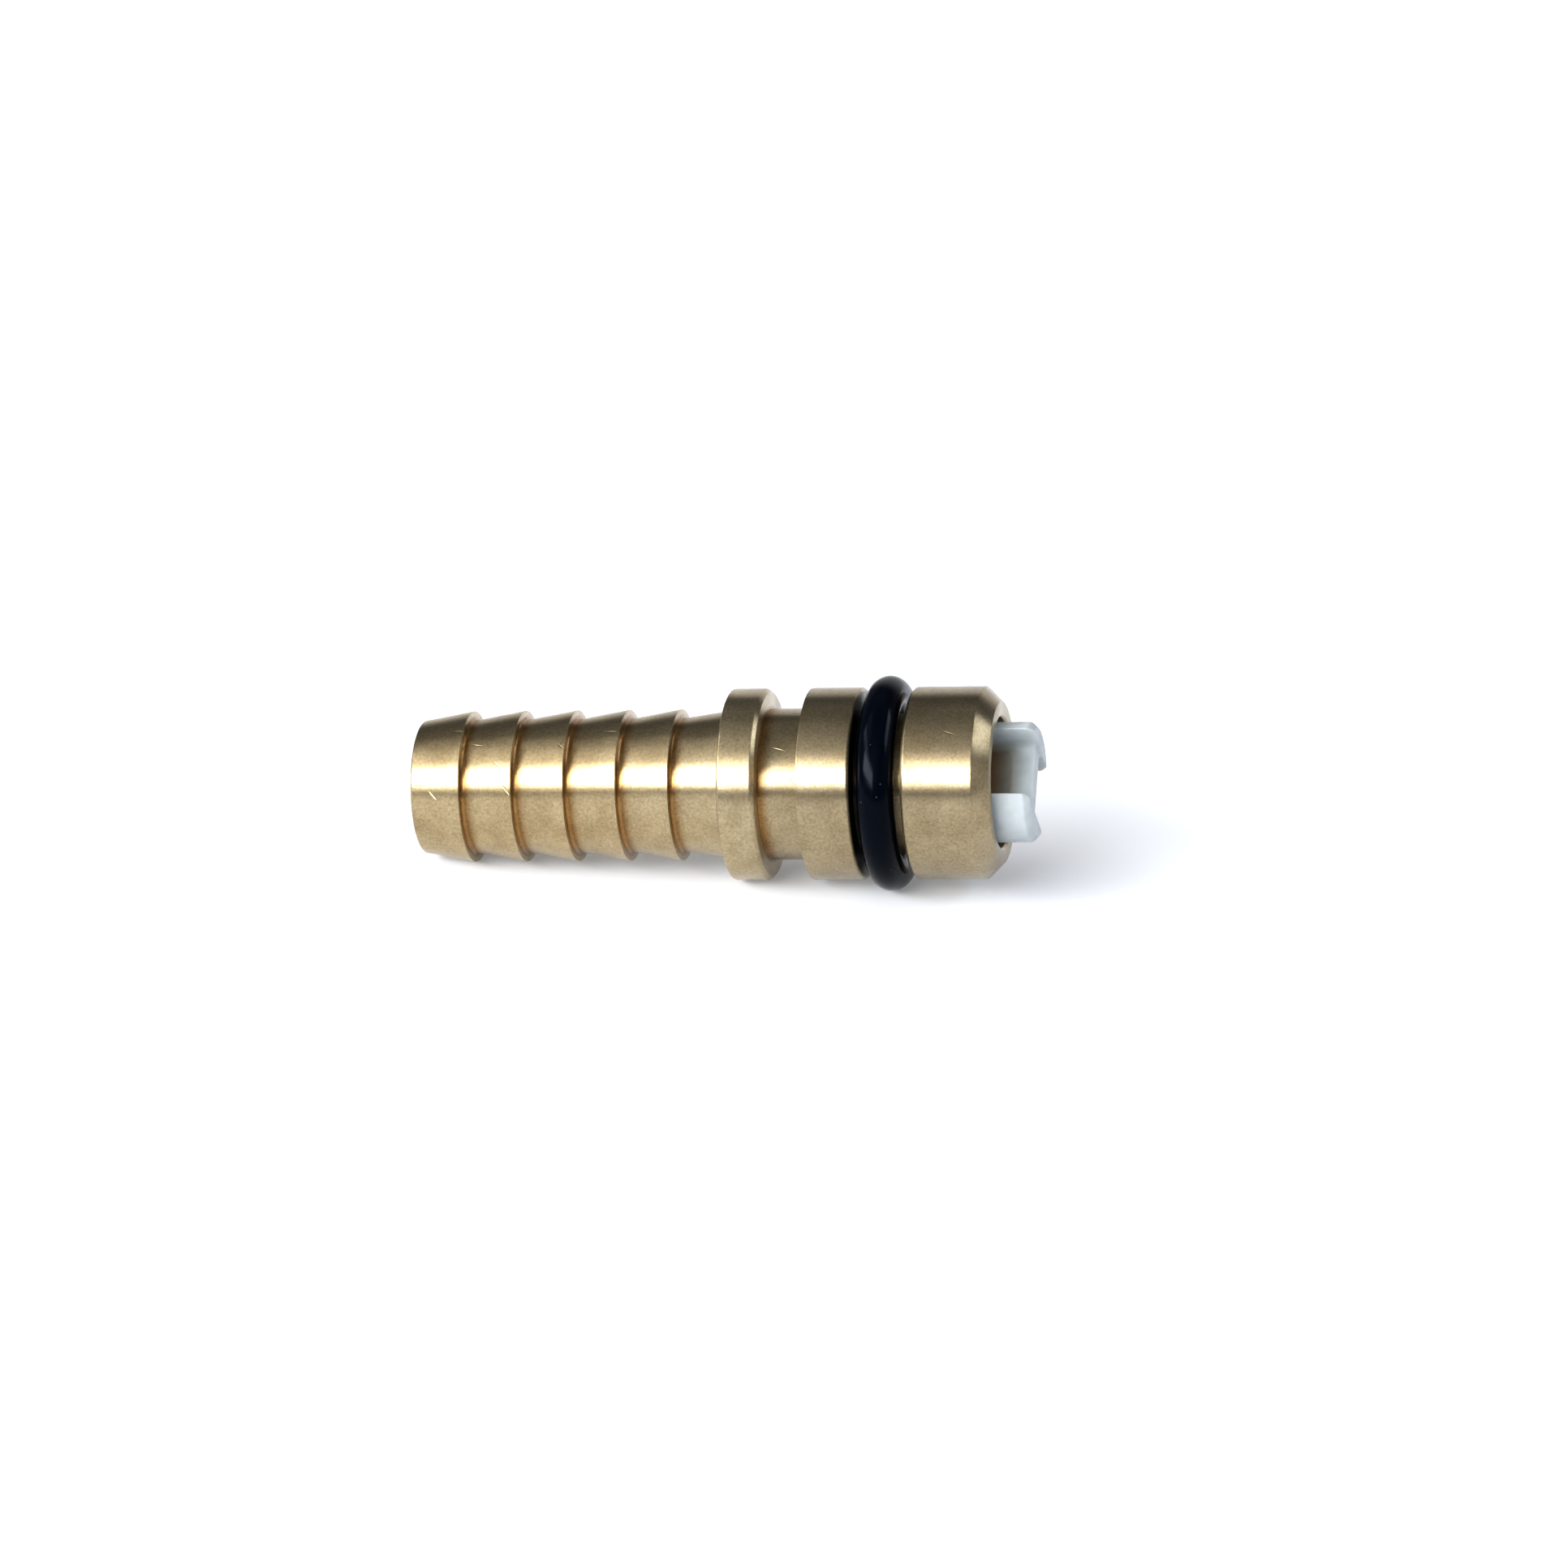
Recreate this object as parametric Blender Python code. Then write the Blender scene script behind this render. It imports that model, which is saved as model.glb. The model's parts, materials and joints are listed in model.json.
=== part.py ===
"""Brass hose barb insert with an O-ring nose and a spring-loaded shut-off valve.

The fitting lies on its side on a table, nose to +X, and leans as it comes to rest:
on the O-ring at the nose and on the flange and barbs behind it.
All lengths are in metres. Places along the fitting are measured from the barb end.
"""

import math

import bmesh
import bpy
import numpy as np
from mathutils import Matrix, Vector

# Facets
ROUND_SIDES = 64  # flats round each turned piece, with one flat facing straight down
RING_SIDES = 16  # flats round the section of the O-ring
WIRE_POINTS_PER_TURN = 16
SHADE_ANGLE = math.radians(30.0)

# The round bar that the body is turned from
BAR_RADIUS = 0.00665

# Barbed shank
BARB_COUNT = 5
BARB_PITCH = 0.00370
FIRST_BARB_LENGTH = 0.00360
BARB_ROOT_RADIUS = 0.00460
BARB_CREST_RADIUS = 0.00526
TAIL_LENGTH = 0.00367  # plain cone between the last barb and the flange
TAIL_RADIUS = 0.00515  # where that cone runs into the flange

# Flange, clip groove and collar
FLANGE_RADIUS = BAR_RADIUS
FLANGE_WIDTH = 0.00263
FLANGE_BACK_BREAK = 0.00013
FLANGE_FRONT_BREAK = 0.00028
CLIP_GROOVE_RADIUS = 0.00524
CLIP_GROOVE_WIDTH = 0.00296
COLLAR_RADIUS = BAR_RADIUS
COLLAR_WIDTH = 0.00366
COLLAR_EDGE_BREAK = 0.00015

# O-ring gland and nose
GLAND_DEPTH = 0.00180
GLAND_RADIUS = BAR_RADIUS - GLAND_DEPTH
GLAND_WIDTH = 0.00356
NOSE_RADIUS = BAR_RADIUS
NOSE_LENGTH = 0.00602
NOSE_EDGE_BREAK = 0.00020
NOSE_LIP_WIDTH = 0.00094  # flat ring left on the end face between chamfer and bore
O_RING_SECTION = 0.00258  # diameter of the rubber cord
O_RING_SEAT_GAP = 0.00002

# Bores
BARB_BORE_RADIUS = 0.00350
BARB_BORE_DEPTH = 0.02560
SEAT_HOLE_RADIUS = 0.00235
SEAT_WALL_THICKNESS = 0.00160
CHAMBER_RADIUS = 0.00350
NOSE_BORE_RADIUS = 0.00450
NOSE_BORE_BREAK = 0.00015

# Valve crown, the white head that stands out of the nose, in one piece with its stem
VALVE_TRAVEL = 0.00200
CROWN_REACH = 0.00250  # how far it stands out of the nose
CROWN_LENGTH = 0.00470
CROWN_CLEARANCE = 0.00035  # to the bore, all round
CROWN_BOTTOM_GAP = 0.00070  # left under the crown when it is pushed in
CROWN_CHAMFER = 0.00045
CROWN_TURN = math.radians(45.0)  # how far its open side is turned up from level
SLOT_WIDTH = 0.00490  # between the two prongs
SLOT_FILLET = 0.00050  # where the bridge meets the prongs
BRIDGE_THICKNESS = 0.00150
BRIDGE_SETBACK = 0.00022  # behind the ends of the prongs
BRIDGE_WIDTH = 0.00090
WEB_THICKNESS = 0.00080  # inside the two pockets behind the bridge
POCKET_WIDTH = 0.00420
POCKET_FILLET = 0.00090
STEM_RADIUS = 0.00150
STEM_ROOT_LENGTH = 0.00140  # how far the stem runs up the web
SPIGOT_RADIUS = 0.00110
BEAD_RADIUS = 0.00135
BEAD_LENGTH = 0.00045

# Valve head and its seal
HEAD_OVERLAP = 0.00060  # of the head over the seat hole, all round
HEAD_THICKNESS = 0.00220
HEAD_TAPER_LENGTH = 0.00100
HEAD_BACK_RADIUS = 0.00200
SEAL_THICKNESS = 0.00090

# Return spring
SPRING_WIRE_RADIUS = 0.00030
SPRING_CLEARANCE = 0.00060  # to the chamber wall
SPRING_OPEN_TURNS = 6
SPRING_END_PITCH = 0.00066

FIT_GAP = 0.00005  # between pieces that touch
CUT_MARGIN = 0.00100  # how far a cutter runs past what it cuts

# Places that follow from the sizes above
LAST_BARB = FIRST_BARB_LENGTH + (BARB_COUNT - 1) * BARB_PITCH
FLANGE_BACK = LAST_BARB + TAIL_LENGTH
FLANGE_FRONT = FLANGE_BACK + FLANGE_WIDTH
COLLAR_BACK = FLANGE_FRONT + CLIP_GROOVE_WIDTH
COLLAR_FRONT = COLLAR_BACK + COLLAR_WIDTH
NOSE_BACK = COLLAR_FRONT + GLAND_WIDTH
NOSE_FRONT = NOSE_BACK + NOSE_LENGTH
NOSE_CHAMFER = NOSE_RADIUS - NOSE_BORE_RADIUS - NOSE_BORE_BREAK - NOSE_LIP_WIDTH
NOSE_BORE_DEPTH = CROWN_LENGTH - CROWN_REACH + VALVE_TRAVEL + CROWN_BOTTOM_GAP
NOSE_BORE_FLOOR = NOSE_FRONT - NOSE_BORE_DEPTH
SEAT_BACK = BARB_BORE_DEPTH
SEAT_FRONT = SEAT_BACK + SEAT_WALL_THICKNESS
CROWN_FRONT = NOSE_FRONT + CROWN_REACH
CROWN_BACK = CROWN_FRONT - CROWN_LENGTH
CROWN_RADIUS = NOSE_BORE_RADIUS - CROWN_CLEARANCE
SEAL_FRONT = SEAT_BACK - FIT_GAP
SEAL_BACK = SEAL_FRONT - SEAL_THICKNESS
HEAD_FRONT = SEAL_BACK - FIT_GAP
HEAD_BACK = HEAD_FRONT - HEAD_THICKNESS
HEAD_RADIUS = SEAT_HOLE_RADIUS + HEAD_OVERLAP
BEAD_FRONT = HEAD_BACK - FIT_GAP
SPRING_RADIUS = CHAMBER_RADIUS - SPRING_CLEARANCE - SPRING_WIRE_RADIUS
O_RING_CENTRE = (COLLAR_FRONT + NOSE_BACK) / 2
O_RING_RADIUS = GLAND_RADIUS + O_RING_SEAT_GAP + O_RING_SECTION / 2


def clear_scene():
    """Remove every object that the file opened with."""
    for item in list(bpy.data.objects):
        bpy.data.objects.remove(item, do_unlink=True)


def make_material(name, colour, roughness, metallic):
    """A plain Principled material."""
    material = bpy.data.materials.new(name)
    material.use_nodes = True
    shader = material.node_tree.nodes["Principled BSDF"]
    shader.inputs["Base Color"].default_value = (*colour, 1.0)
    shader.inputs["Roughness"].default_value = roughness
    shader.inputs["Metallic"].default_value = metallic
    return material


def add_object(name, form, parent, material=None):
    """Turn a finished bmesh into a named object under the parent."""
    bmesh.ops.recalc_face_normals(form, faces=form.faces)
    mesh = bpy.data.meshes.new(name)
    form.to_mesh(mesh)
    form.free()
    mesh.shade_smooth()
    mesh.set_sharp_from_angle(angle=SHADE_ANGLE)
    item = bpy.data.objects.new(name, mesh)
    bpy.context.collection.objects.link(item)
    item.parent = parent
    if material is not None:
        mesh.materials.append(material)
    return item


def revolve(outline, closed):
    """Turn an outline of (place, radius) points about the fitting's axis."""
    form = bmesh.new()
    half_step = math.pi / ROUND_SIDES
    side = math.sin(half_step)
    down = -math.cos(half_step)
    corners = [form.verts.new((place, r * side, r * down)) for place, r in outline]
    edges = [form.edges.new(pair) for pair in zip(corners, corners[1:])]
    if closed:
        edges.append(form.edges.new((corners[-1], corners[0])))
    bmesh.ops.spin(
        form,
        geom=corners + edges,
        cent=(0.0, 0.0, 0.0),
        axis=(1.0, 0.0, 0.0),
        angle=math.tau,
        steps=ROUND_SIDES,
        use_merge=True,
    )
    bmesh.ops.remove_doubles(form, verts=form.verts, dist=1e-7)
    return form


def extrude_outline(outline, sweep):
    """Close an outline of 3-D points into a face and extrude it by a vector."""
    form = bmesh.new()
    face = form.faces.new([form.verts.new(point) for point in outline])
    swept = bmesh.ops.extrude_face_region(form, geom=[face])
    moved = [part for part in swept["geom"] if isinstance(part, bmesh.types.BMVert)]
    bmesh.ops.translate(form, verts=moved, vec=sweep)
    return form


def round_corner(centre, radius, start_angle, end_angle, steps=6):
    """Points along an arc, as (first, second) pairs in the outline's own plane."""
    points = []
    for step in range(steps + 1):
        angle = start_angle + (end_angle - start_angle) * step / steps
        first = centre[0] + radius * math.cos(angle)
        second = centre[1] + radius * math.sin(angle)
        points.append((first, second))
    return points


def barb_outline():
    """Shank from the barb end to the flange: a saw-tooth row of cones."""
    points = [(0.0, BARB_ROOT_RADIUS)]
    for number in range(BARB_COUNT):
        crest = FIRST_BARB_LENGTH + number * BARB_PITCH
        points.append((crest, BARB_CREST_RADIUS))
        points.append((crest, BARB_ROOT_RADIUS))
    points.append((FLANGE_BACK, TAIL_RADIUS))
    return points


def head_outline():
    """Flange, clip groove, collar, O-ring gland and nose."""
    return [
        (FLANGE_BACK, FLANGE_RADIUS - FLANGE_BACK_BREAK),
        (FLANGE_BACK + FLANGE_BACK_BREAK, FLANGE_RADIUS),
        (FLANGE_FRONT - FLANGE_FRONT_BREAK, FLANGE_RADIUS),
        (FLANGE_FRONT, FLANGE_RADIUS - FLANGE_FRONT_BREAK),
        (FLANGE_FRONT, CLIP_GROOVE_RADIUS),
        (COLLAR_BACK, CLIP_GROOVE_RADIUS),
        (COLLAR_BACK, COLLAR_RADIUS),
        (COLLAR_FRONT - COLLAR_EDGE_BREAK, COLLAR_RADIUS),
        (COLLAR_FRONT, COLLAR_RADIUS - COLLAR_EDGE_BREAK),
        (COLLAR_FRONT, GLAND_RADIUS),
        (NOSE_BACK, GLAND_RADIUS),
        (NOSE_BACK, NOSE_RADIUS - NOSE_EDGE_BREAK),
        (NOSE_BACK + NOSE_EDGE_BREAK, NOSE_RADIUS),
        (NOSE_FRONT - NOSE_CHAMFER, NOSE_RADIUS),
        (NOSE_FRONT, NOSE_RADIUS - NOSE_CHAMFER),
    ]


def bore_outline():
    """Bores from the nose back to the barb end, with the valve seat between them."""
    return [
        (NOSE_FRONT, NOSE_BORE_RADIUS + NOSE_BORE_BREAK),
        (NOSE_FRONT - NOSE_BORE_BREAK, NOSE_BORE_RADIUS),
        (NOSE_BORE_FLOOR, NOSE_BORE_RADIUS),
        (NOSE_BORE_FLOOR, CHAMBER_RADIUS),
        (SEAT_FRONT, CHAMBER_RADIUS),
        (SEAT_FRONT, SEAT_HOLE_RADIUS),
        (SEAT_BACK, SEAT_HOLE_RADIUS),
        (SEAT_BACK, BARB_BORE_RADIUS),
        (0.0, BARB_BORE_RADIUS),
    ]


def build_body(parent):
    """The brass body, turned from one bar."""
    brass = make_material("turned_brass", (0.60, 0.43, 0.20), 0.32, 1.0)
    form = revolve(barb_outline() + head_outline() + bore_outline(), closed=True)
    return add_object("barb_body", form, parent, brass)


def build_o_ring(parent):
    """The rubber O-ring in the gland of the nose."""
    rubber = make_material("black_rubber", (0.018, 0.019, 0.022), 0.45, 0.0)
    section = []
    for step in range(RING_SIDES):
        angle = math.tau * step / RING_SIDES
        place = O_RING_CENTRE + O_RING_SECTION / 2 * math.sin(angle)
        radius = O_RING_RADIUS + O_RING_SECTION / 2 * math.cos(angle)
        section.append((place, radius))
    return add_object("nose_o_ring", revolve(section, closed=True), parent, rubber)


def add_cutter(name, form, parent):
    """A hidden helper shape for a Boolean modifier."""
    item = add_object(name, form, parent)
    item.hide_render = True
    item.display_type = "WIRE"
    return item


def add_boolean(item, operation, helper):
    """Cut a helper shape out of an object, or join it on."""
    boolean = item.modifiers.new(helper.name, "BOOLEAN")
    boolean.operation = operation
    boolean.solver = "EXACT"
    boolean.object = helper


def channel_cutter(side):
    """Open side of the crown between its prongs; side is -1 in front and 1 behind."""
    half = SLOT_WIDTH / 2
    inner = BRIDGE_THICKNESS / 2
    outer = CROWN_RADIUS + CUT_MARGIN
    section = [(outer, -half)]
    low = (inner + SLOT_FILLET, -half + SLOT_FILLET)
    high = (inner + SLOT_FILLET, half - SLOT_FILLET)
    section += round_corner(low, SLOT_FILLET, -math.pi / 2, -math.pi)
    section += round_corner(high, SLOT_FILLET, math.pi, math.pi / 2)
    section.append((outer, half))
    start = CROWN_BACK - CUT_MARGIN
    outline = [(start, side * depth, across) for depth, across in section]
    return extrude_outline(outline, (CROWN_LENGTH + 2 * CUT_MARGIN, 0.0, 0.0))


def pocket_cutter(side):
    """Shallow round-ended pocket that thins the web behind the bridge."""
    half = POCKET_WIDTH / 2
    end = CROWN_FRONT - BRIDGE_SETBACK - BRIDGE_WIDTH
    start = CROWN_BACK - CUT_MARGIN
    low = (end - POCKET_FILLET, -half + POCKET_FILLET)
    high = (end - POCKET_FILLET, half - POCKET_FILLET)
    outline = [(start, -half)]
    outline += round_corner(low, POCKET_FILLET, -math.pi / 2, 0.0)
    outline += round_corner(high, POCKET_FILLET, 0.0, math.pi / 2)
    outline.append((start, half))
    floor = side * WEB_THICKNESS / 2
    depth = side * (BRIDGE_THICKNESS / 2 + SLOT_FILLET - WEB_THICKNESS / 2)
    points = [(place, floor, across) for place, across in outline]
    return extrude_outline(points, (0.0, depth, 0.0))


def setback_cutter():
    """Takes the end of the bridge back behind the ends of the prongs."""
    half = SLOT_WIDTH / 2
    reach = CROWN_RADIUS + CUT_MARGIN
    start = CROWN_FRONT - BRIDGE_SETBACK
    outline = [
        (start, -reach, -half),
        (start, reach, -half),
        (start, reach, half),
        (start, -reach, half),
    ]
    return extrude_outline(outline, (BRIDGE_SETBACK + CUT_MARGIN, 0.0, 0.0))


def stem_outline():
    """Stem from the bead behind the valve head up to its root in the crown."""
    tip = BEAD_FRONT - BEAD_LENGTH
    root = CROWN_BACK + STEM_ROOT_LENGTH
    return [
        (tip, 0.0),
        (tip, SPIGOT_RADIUS),
        (BEAD_FRONT, BEAD_RADIUS),
        (BEAD_FRONT, SPIGOT_RADIUS),
        (HEAD_FRONT, SPIGOT_RADIUS),
        (HEAD_FRONT, STEM_RADIUS),
        (root - STEM_RADIUS / 2, STEM_RADIUS),
        (root, STEM_RADIUS / 2),
        (root, 0.0),
    ]


def build_crown(parent):
    """The white crown: two prongs, the bridge between them, the web and the stem."""
    acetal = make_material("white_acetal", (0.78, 0.81, 0.80), 0.42, 0.0)
    blank = [
        (CROWN_BACK, 0.0),
        (CROWN_BACK, CROWN_RADIUS),
        (CROWN_FRONT - CROWN_CHAMFER, CROWN_RADIUS),
        (CROWN_FRONT, CROWN_RADIUS - CROWN_CHAMFER),
        (CROWN_FRONT, 0.0),
    ]
    crown = add_object("valve_crown", revolve(blank, closed=False), parent, acetal)
    crown.rotation_euler = (-CROWN_TURN, 0.0, 0.0)
    for label, side in (("front", -1), ("back", 1)):
        channel = add_cutter("channel_" + label, channel_cutter(side), crown)
        add_boolean(crown, "DIFFERENCE", channel)
        pocket = add_cutter("pocket_" + label, pocket_cutter(side), crown)
        add_boolean(crown, "DIFFERENCE", pocket)
    add_boolean(crown, "DIFFERENCE", add_cutter("setback", setback_cutter(), crown))
    stem = add_cutter("stem", revolve(stem_outline(), closed=False), crown)
    add_boolean(crown, "UNION", stem)
    return crown


def build_valve_head(parent):
    """The disc that closes the seat from the barb side, snapped on the stem."""
    acetal = make_material("grey_acetal", (0.32, 0.33, 0.34), 0.40, 0.0)
    hole = SPIGOT_RADIUS + FIT_GAP
    outline = [
        (HEAD_BACK, HEAD_BACK_RADIUS),
        (HEAD_BACK + HEAD_TAPER_LENGTH, HEAD_RADIUS),
        (HEAD_FRONT, HEAD_RADIUS),
        (HEAD_FRONT, hole),
        (HEAD_BACK, hole),
    ]
    return add_object("valve_head", revolve(outline, closed=True), parent, acetal)


def build_valve_seal(parent):
    """The flat rubber ring between the valve head and its seat."""
    rubber = make_material("seal_rubber", (0.02, 0.02, 0.02), 0.55, 0.0)
    hole = STEM_RADIUS + FIT_GAP
    outline = [
        (SEAL_BACK, HEAD_RADIUS),
        (SEAL_FRONT, HEAD_RADIUS),
        (SEAL_FRONT, hole),
        (SEAL_BACK, hole),
    ]
    return add_object("valve_seal", revolve(outline, closed=True), parent, rubber)


def spring_points():
    """Centre line of the wire: a closed turn, the open turns, a closed turn."""
    start = SEAT_FRONT + FIT_GAP + SPRING_WIRE_RADIUS
    end = CROWN_BACK - FIT_GAP - SPRING_WIRE_RADIUS
    open_pitch = (end - start - 2 * SPRING_END_PITCH) / SPRING_OPEN_TURNS
    turns = SPRING_OPEN_TURNS + 2
    points = []
    for step in range(turns * WIRE_POINTS_PER_TURN + 1):
        turn = step / WIRE_POINTS_PER_TURN
        closed_turns = min(turn, 1.0) + max(turn - turns + 1, 0.0)
        place = start + closed_turns * SPRING_END_PITCH
        place += (turn - closed_turns) * open_pitch
        angle = math.tau * turn
        side = SPRING_RADIUS * math.sin(angle)
        up = SPRING_RADIUS * math.cos(angle)
        points.append((place, side, up))
    return points


def build_spring(parent):
    """The return spring round the stem, between the seat wall and the crown."""
    steel = make_material("spring_steel", (0.56, 0.57, 0.58), 0.28, 1.0)
    wire = bpy.data.curves.new("return_spring", "CURVE")
    wire.dimensions = "3D"
    wire.bevel_depth = SPRING_WIRE_RADIUS
    wire.bevel_resolution = 1
    wire.use_fill_caps = True
    wire.materials.append(steel)
    points = spring_points()
    spline = wire.splines.new("POLY")
    spline.points.add(len(points) - 1)
    for point, place in zip(spline.points, points):
        point.co = (*place, 1.0)
    spring = bpy.data.objects.new("return_spring", wire)
    bpy.context.collection.objects.link(spring)
    spring.parent = parent
    return spring


def balance_place(mesh):
    """Place along the axis of a closed mesh's centre of mass."""
    mesh.calc_loop_triangles()
    volume = 0.0
    moment = 0.0
    for triangle in mesh.loop_triangles:
        a, b, c = (mesh.vertices[index].co for index in triangle.vertices)
        part = a.dot(b.cross(c)) / 6
        volume += part
        moment += part * (a.x + b.x + c.x) / 4
    return moment / volume


def resting_lean(pieces, balance):
    """Angle that the axis makes with the table once the fitting lies on it."""
    outline = sorted({(v.co.x, v.co.z) for piece in pieces for v in piece.data.vertices})
    hull = []
    for point in outline:
        while len(hull) > 1:
            first, middle = hull[-2], hull[-1]
            turn = (middle[0] - first[0]) * (point[1] - first[1])
            turn -= (middle[1] - first[1]) * (point[0] - first[0])
            if turn > 0:
                break
            hull.pop()
        hull.append(point)
    for back, front in zip(hull, hull[1:]):
        if back[0] <= balance <= front[0]:
            return math.atan2(back[1] - front[1], front[0] - back[0])
    return 0.0


def set_down(pose, pieces):
    """Lean the fitting, stand it on z = 0 and centre it over the origin."""
    body = pieces[0]
    pose.rotation_euler = (0.0, -resting_lean(pieces[:2], balance_place(body.data)), 0.0)
    bpy.context.view_layer.update()
    depsgraph = bpy.context.evaluated_depsgraph_get()
    corners = []
    for piece in pieces:
        evaluated = piece.evaluated_get(depsgraph)
        mesh = evaluated.to_mesh()
        corners += [tuple(piece.matrix_world @ v.co) for v in mesh.vertices]
        evaluated.to_mesh_clear()
    corners = np.array(corners)
    low = corners.min(axis=0)
    high = corners.max(axis=0)
    pose.location = (-(low[0] + high[0]) / 2, -(low[1] + high[1]) / 2, -low[2])
    bpy.context.view_layer.update()


def main():
    """Build every piece and lay the fitting down."""
    clear_scene()
    pose = bpy.data.objects.new("resting_pose", None)
    bpy.context.collection.objects.link(pose)
    valve = bpy.data.objects.new("valve_slide", None)
    bpy.context.collection.objects.link(valve)
    valve.parent = pose
    pieces = [build_body(pose), build_o_ring(pose)]
    pieces.append(build_crown(valve))
    pieces.append(build_valve_head(valve))
    pieces.append(build_valve_seal(valve))
    pieces.append(build_spring(pose))
    set_down(pose, pieces)


if __name__ == "__main__":
    main()
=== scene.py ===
"""Looks of a valved brass hose barb insert that lies on a white table.

Sizes are in millimetres, measured from the barb end along the fitting's own axis,
until a finished piece is laid down in the frame, which is in metres.
"""

import json
import logging
import math
from collections.abc import Callable
from dataclasses import dataclass, field
from enum import Enum

import bmesh
import bpy
from mathutils import Matrix, Vector

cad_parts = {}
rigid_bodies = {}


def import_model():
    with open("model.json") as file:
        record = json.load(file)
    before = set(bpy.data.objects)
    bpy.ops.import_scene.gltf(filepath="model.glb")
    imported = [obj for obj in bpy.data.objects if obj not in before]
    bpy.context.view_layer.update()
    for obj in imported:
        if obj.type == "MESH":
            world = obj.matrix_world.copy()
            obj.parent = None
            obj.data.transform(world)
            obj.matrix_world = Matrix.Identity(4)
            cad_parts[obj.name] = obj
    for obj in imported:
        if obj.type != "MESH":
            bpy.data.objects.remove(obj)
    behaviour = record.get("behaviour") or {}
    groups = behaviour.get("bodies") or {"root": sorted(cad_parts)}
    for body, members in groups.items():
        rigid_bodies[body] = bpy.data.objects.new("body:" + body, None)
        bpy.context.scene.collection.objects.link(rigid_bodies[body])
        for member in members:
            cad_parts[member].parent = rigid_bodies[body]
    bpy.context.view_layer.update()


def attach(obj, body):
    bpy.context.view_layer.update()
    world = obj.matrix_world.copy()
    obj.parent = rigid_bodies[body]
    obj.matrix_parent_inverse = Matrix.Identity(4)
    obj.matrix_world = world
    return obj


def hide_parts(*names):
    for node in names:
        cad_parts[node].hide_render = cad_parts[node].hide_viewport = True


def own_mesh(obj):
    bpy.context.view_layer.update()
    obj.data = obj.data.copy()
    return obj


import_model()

LOG = logging.getLogger("hose_barb")
MM = 0.001
PHOTO_PIXELS = 1932
WHITE = (1.0, 1.0, 1.0, 1.0)
# Points nearer than this, in metres, are one point.
MERGING_DISTANCE = 1e-7
# Sizes whose ratio is this close to 1 are the same.
SAME_RATIO = 1e-9
# Edges sharper than this, in degrees, are deburred.
BREAK_ANGLE = 20.0
# Numbers of the inputs that a Mix node of colours has.
FACTOR, BELOW, ABOVE = 0, 6, 7
# The barbs of the body, in front of whose steps amber shade and reflection are painted.
BARB_COUNT = 5
FIRST_BARB = 3.60
BARB_PITCH = 3.70

Outline = list[tuple[float, float]]
Point = tuple[float, float, float]
Colour = tuple[float, float, float, float]
Stops = tuple[tuple[float, str], ...]
Tree = bpy.types.NodeTree
# A node stands for its first output in use.
Signal = bpy.types.Node | bpy.types.NodeSocket
Item = bpy.types.Object


class Body(Enum):
    """Bodies of the frame that a piece can ride on."""

    FITTING = "fitting"
    VALVE = "valve"


class Side(Enum):
    """The two open sides of the crown."""

    FRONT = -1
    BACK = 1


class Ends(Enum):
    """How a turned outline ends."""

    CLOSED = "closed"
    CAPPED = "capped"


def linear(code: str) -> Colour:
    """Turn an sRGB hex colour into linear values.

    Args:
        code: Colour such as "#d8b878".

    Returns:
        Red, green, blue and alpha, linear.
    """
    channels = []
    for start in (1, 3, 5):
        value = int(code[start : start + 2], 16) / 255
        low = value / 12.92
        high = ((value + 0.055) / 1.055) ** 2.4
        channels.append(low if value <= 0.04045 else high)
    return (channels[0], channels[1], channels[2], 1.0)


def direction_of(azimuth: float, elevation: float) -> Vector:
    """Direction towards the viewer for an azimuth and an elevation.

    Args:
        azimuth: Degrees, 0 looks along +Y, growing towards +X.
        elevation: Degrees above the table.

    Returns:
        Unit vector from the fitting.
    """
    turn = math.radians(azimuth)
    rise = math.radians(elevation)
    level = math.cos(rise)
    return Vector((math.sin(turn) * level, -math.cos(turn) * level, math.sin(rise)))


def set_inputs(tree: Tree, node: bpy.types.Node, inputs: dict) -> None:
    """Set the inputs of a node.

    Args:
        tree: Node tree that it is in.
        node: The node.
        inputs: Socket name or number, to a value or a signal to link.
    """
    for name, value in inputs.items():
        if isinstance(value, bpy.types.Node):
            value = next(output for output in value.outputs if output.enabled)
        if isinstance(value, bpy.types.NodeSocket):
            tree.links.new(value, node.inputs[name])
        else:
            node.inputs[name].default_value = value


def add_node(
    tree: Tree,
    kind: str,
    settings: dict | None = None,
    inputs: dict | None = None,
    stops: Stops = (),
) -> bpy.types.Node:
    """Add a node with its settings, values, links and colour stops.

    Args:
        tree: Node tree that gets the node.
        kind: Node type, such as "ShaderNodeTexNoise".
        settings: Attributes of the node.
        inputs: Its inputs, as set_inputs takes them.
        stops: Place and sRGB hex colour of each stop, for a ramp.

    Returns:
        The new node.
    """
    node = tree.nodes.new(kind)
    for name, value in (settings or {}).items():
        setattr(node, name, value)
    set_inputs(tree, node, inputs or {})
    if stops:
        elements = node.color_ramp.elements
        while len(elements) < len(stops):
            elements.new(0.5)
        for element, (place, code) in zip(elements, stops):
            element.position = place
            element.color = linear(code)
    return node


def new_material(name: str) -> tuple[bpy.types.Material, Tree, bpy.types.Node]:
    """Make a plain Principled material.

    Args:
        name: What the real material is.

    Returns:
        The material, its node tree and its shader.
    """
    material = bpy.data.materials.new(name)
    material.use_nodes = True
    tree = material.node_tree
    return material, tree, tree.nodes["Principled BSDF"]


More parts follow.
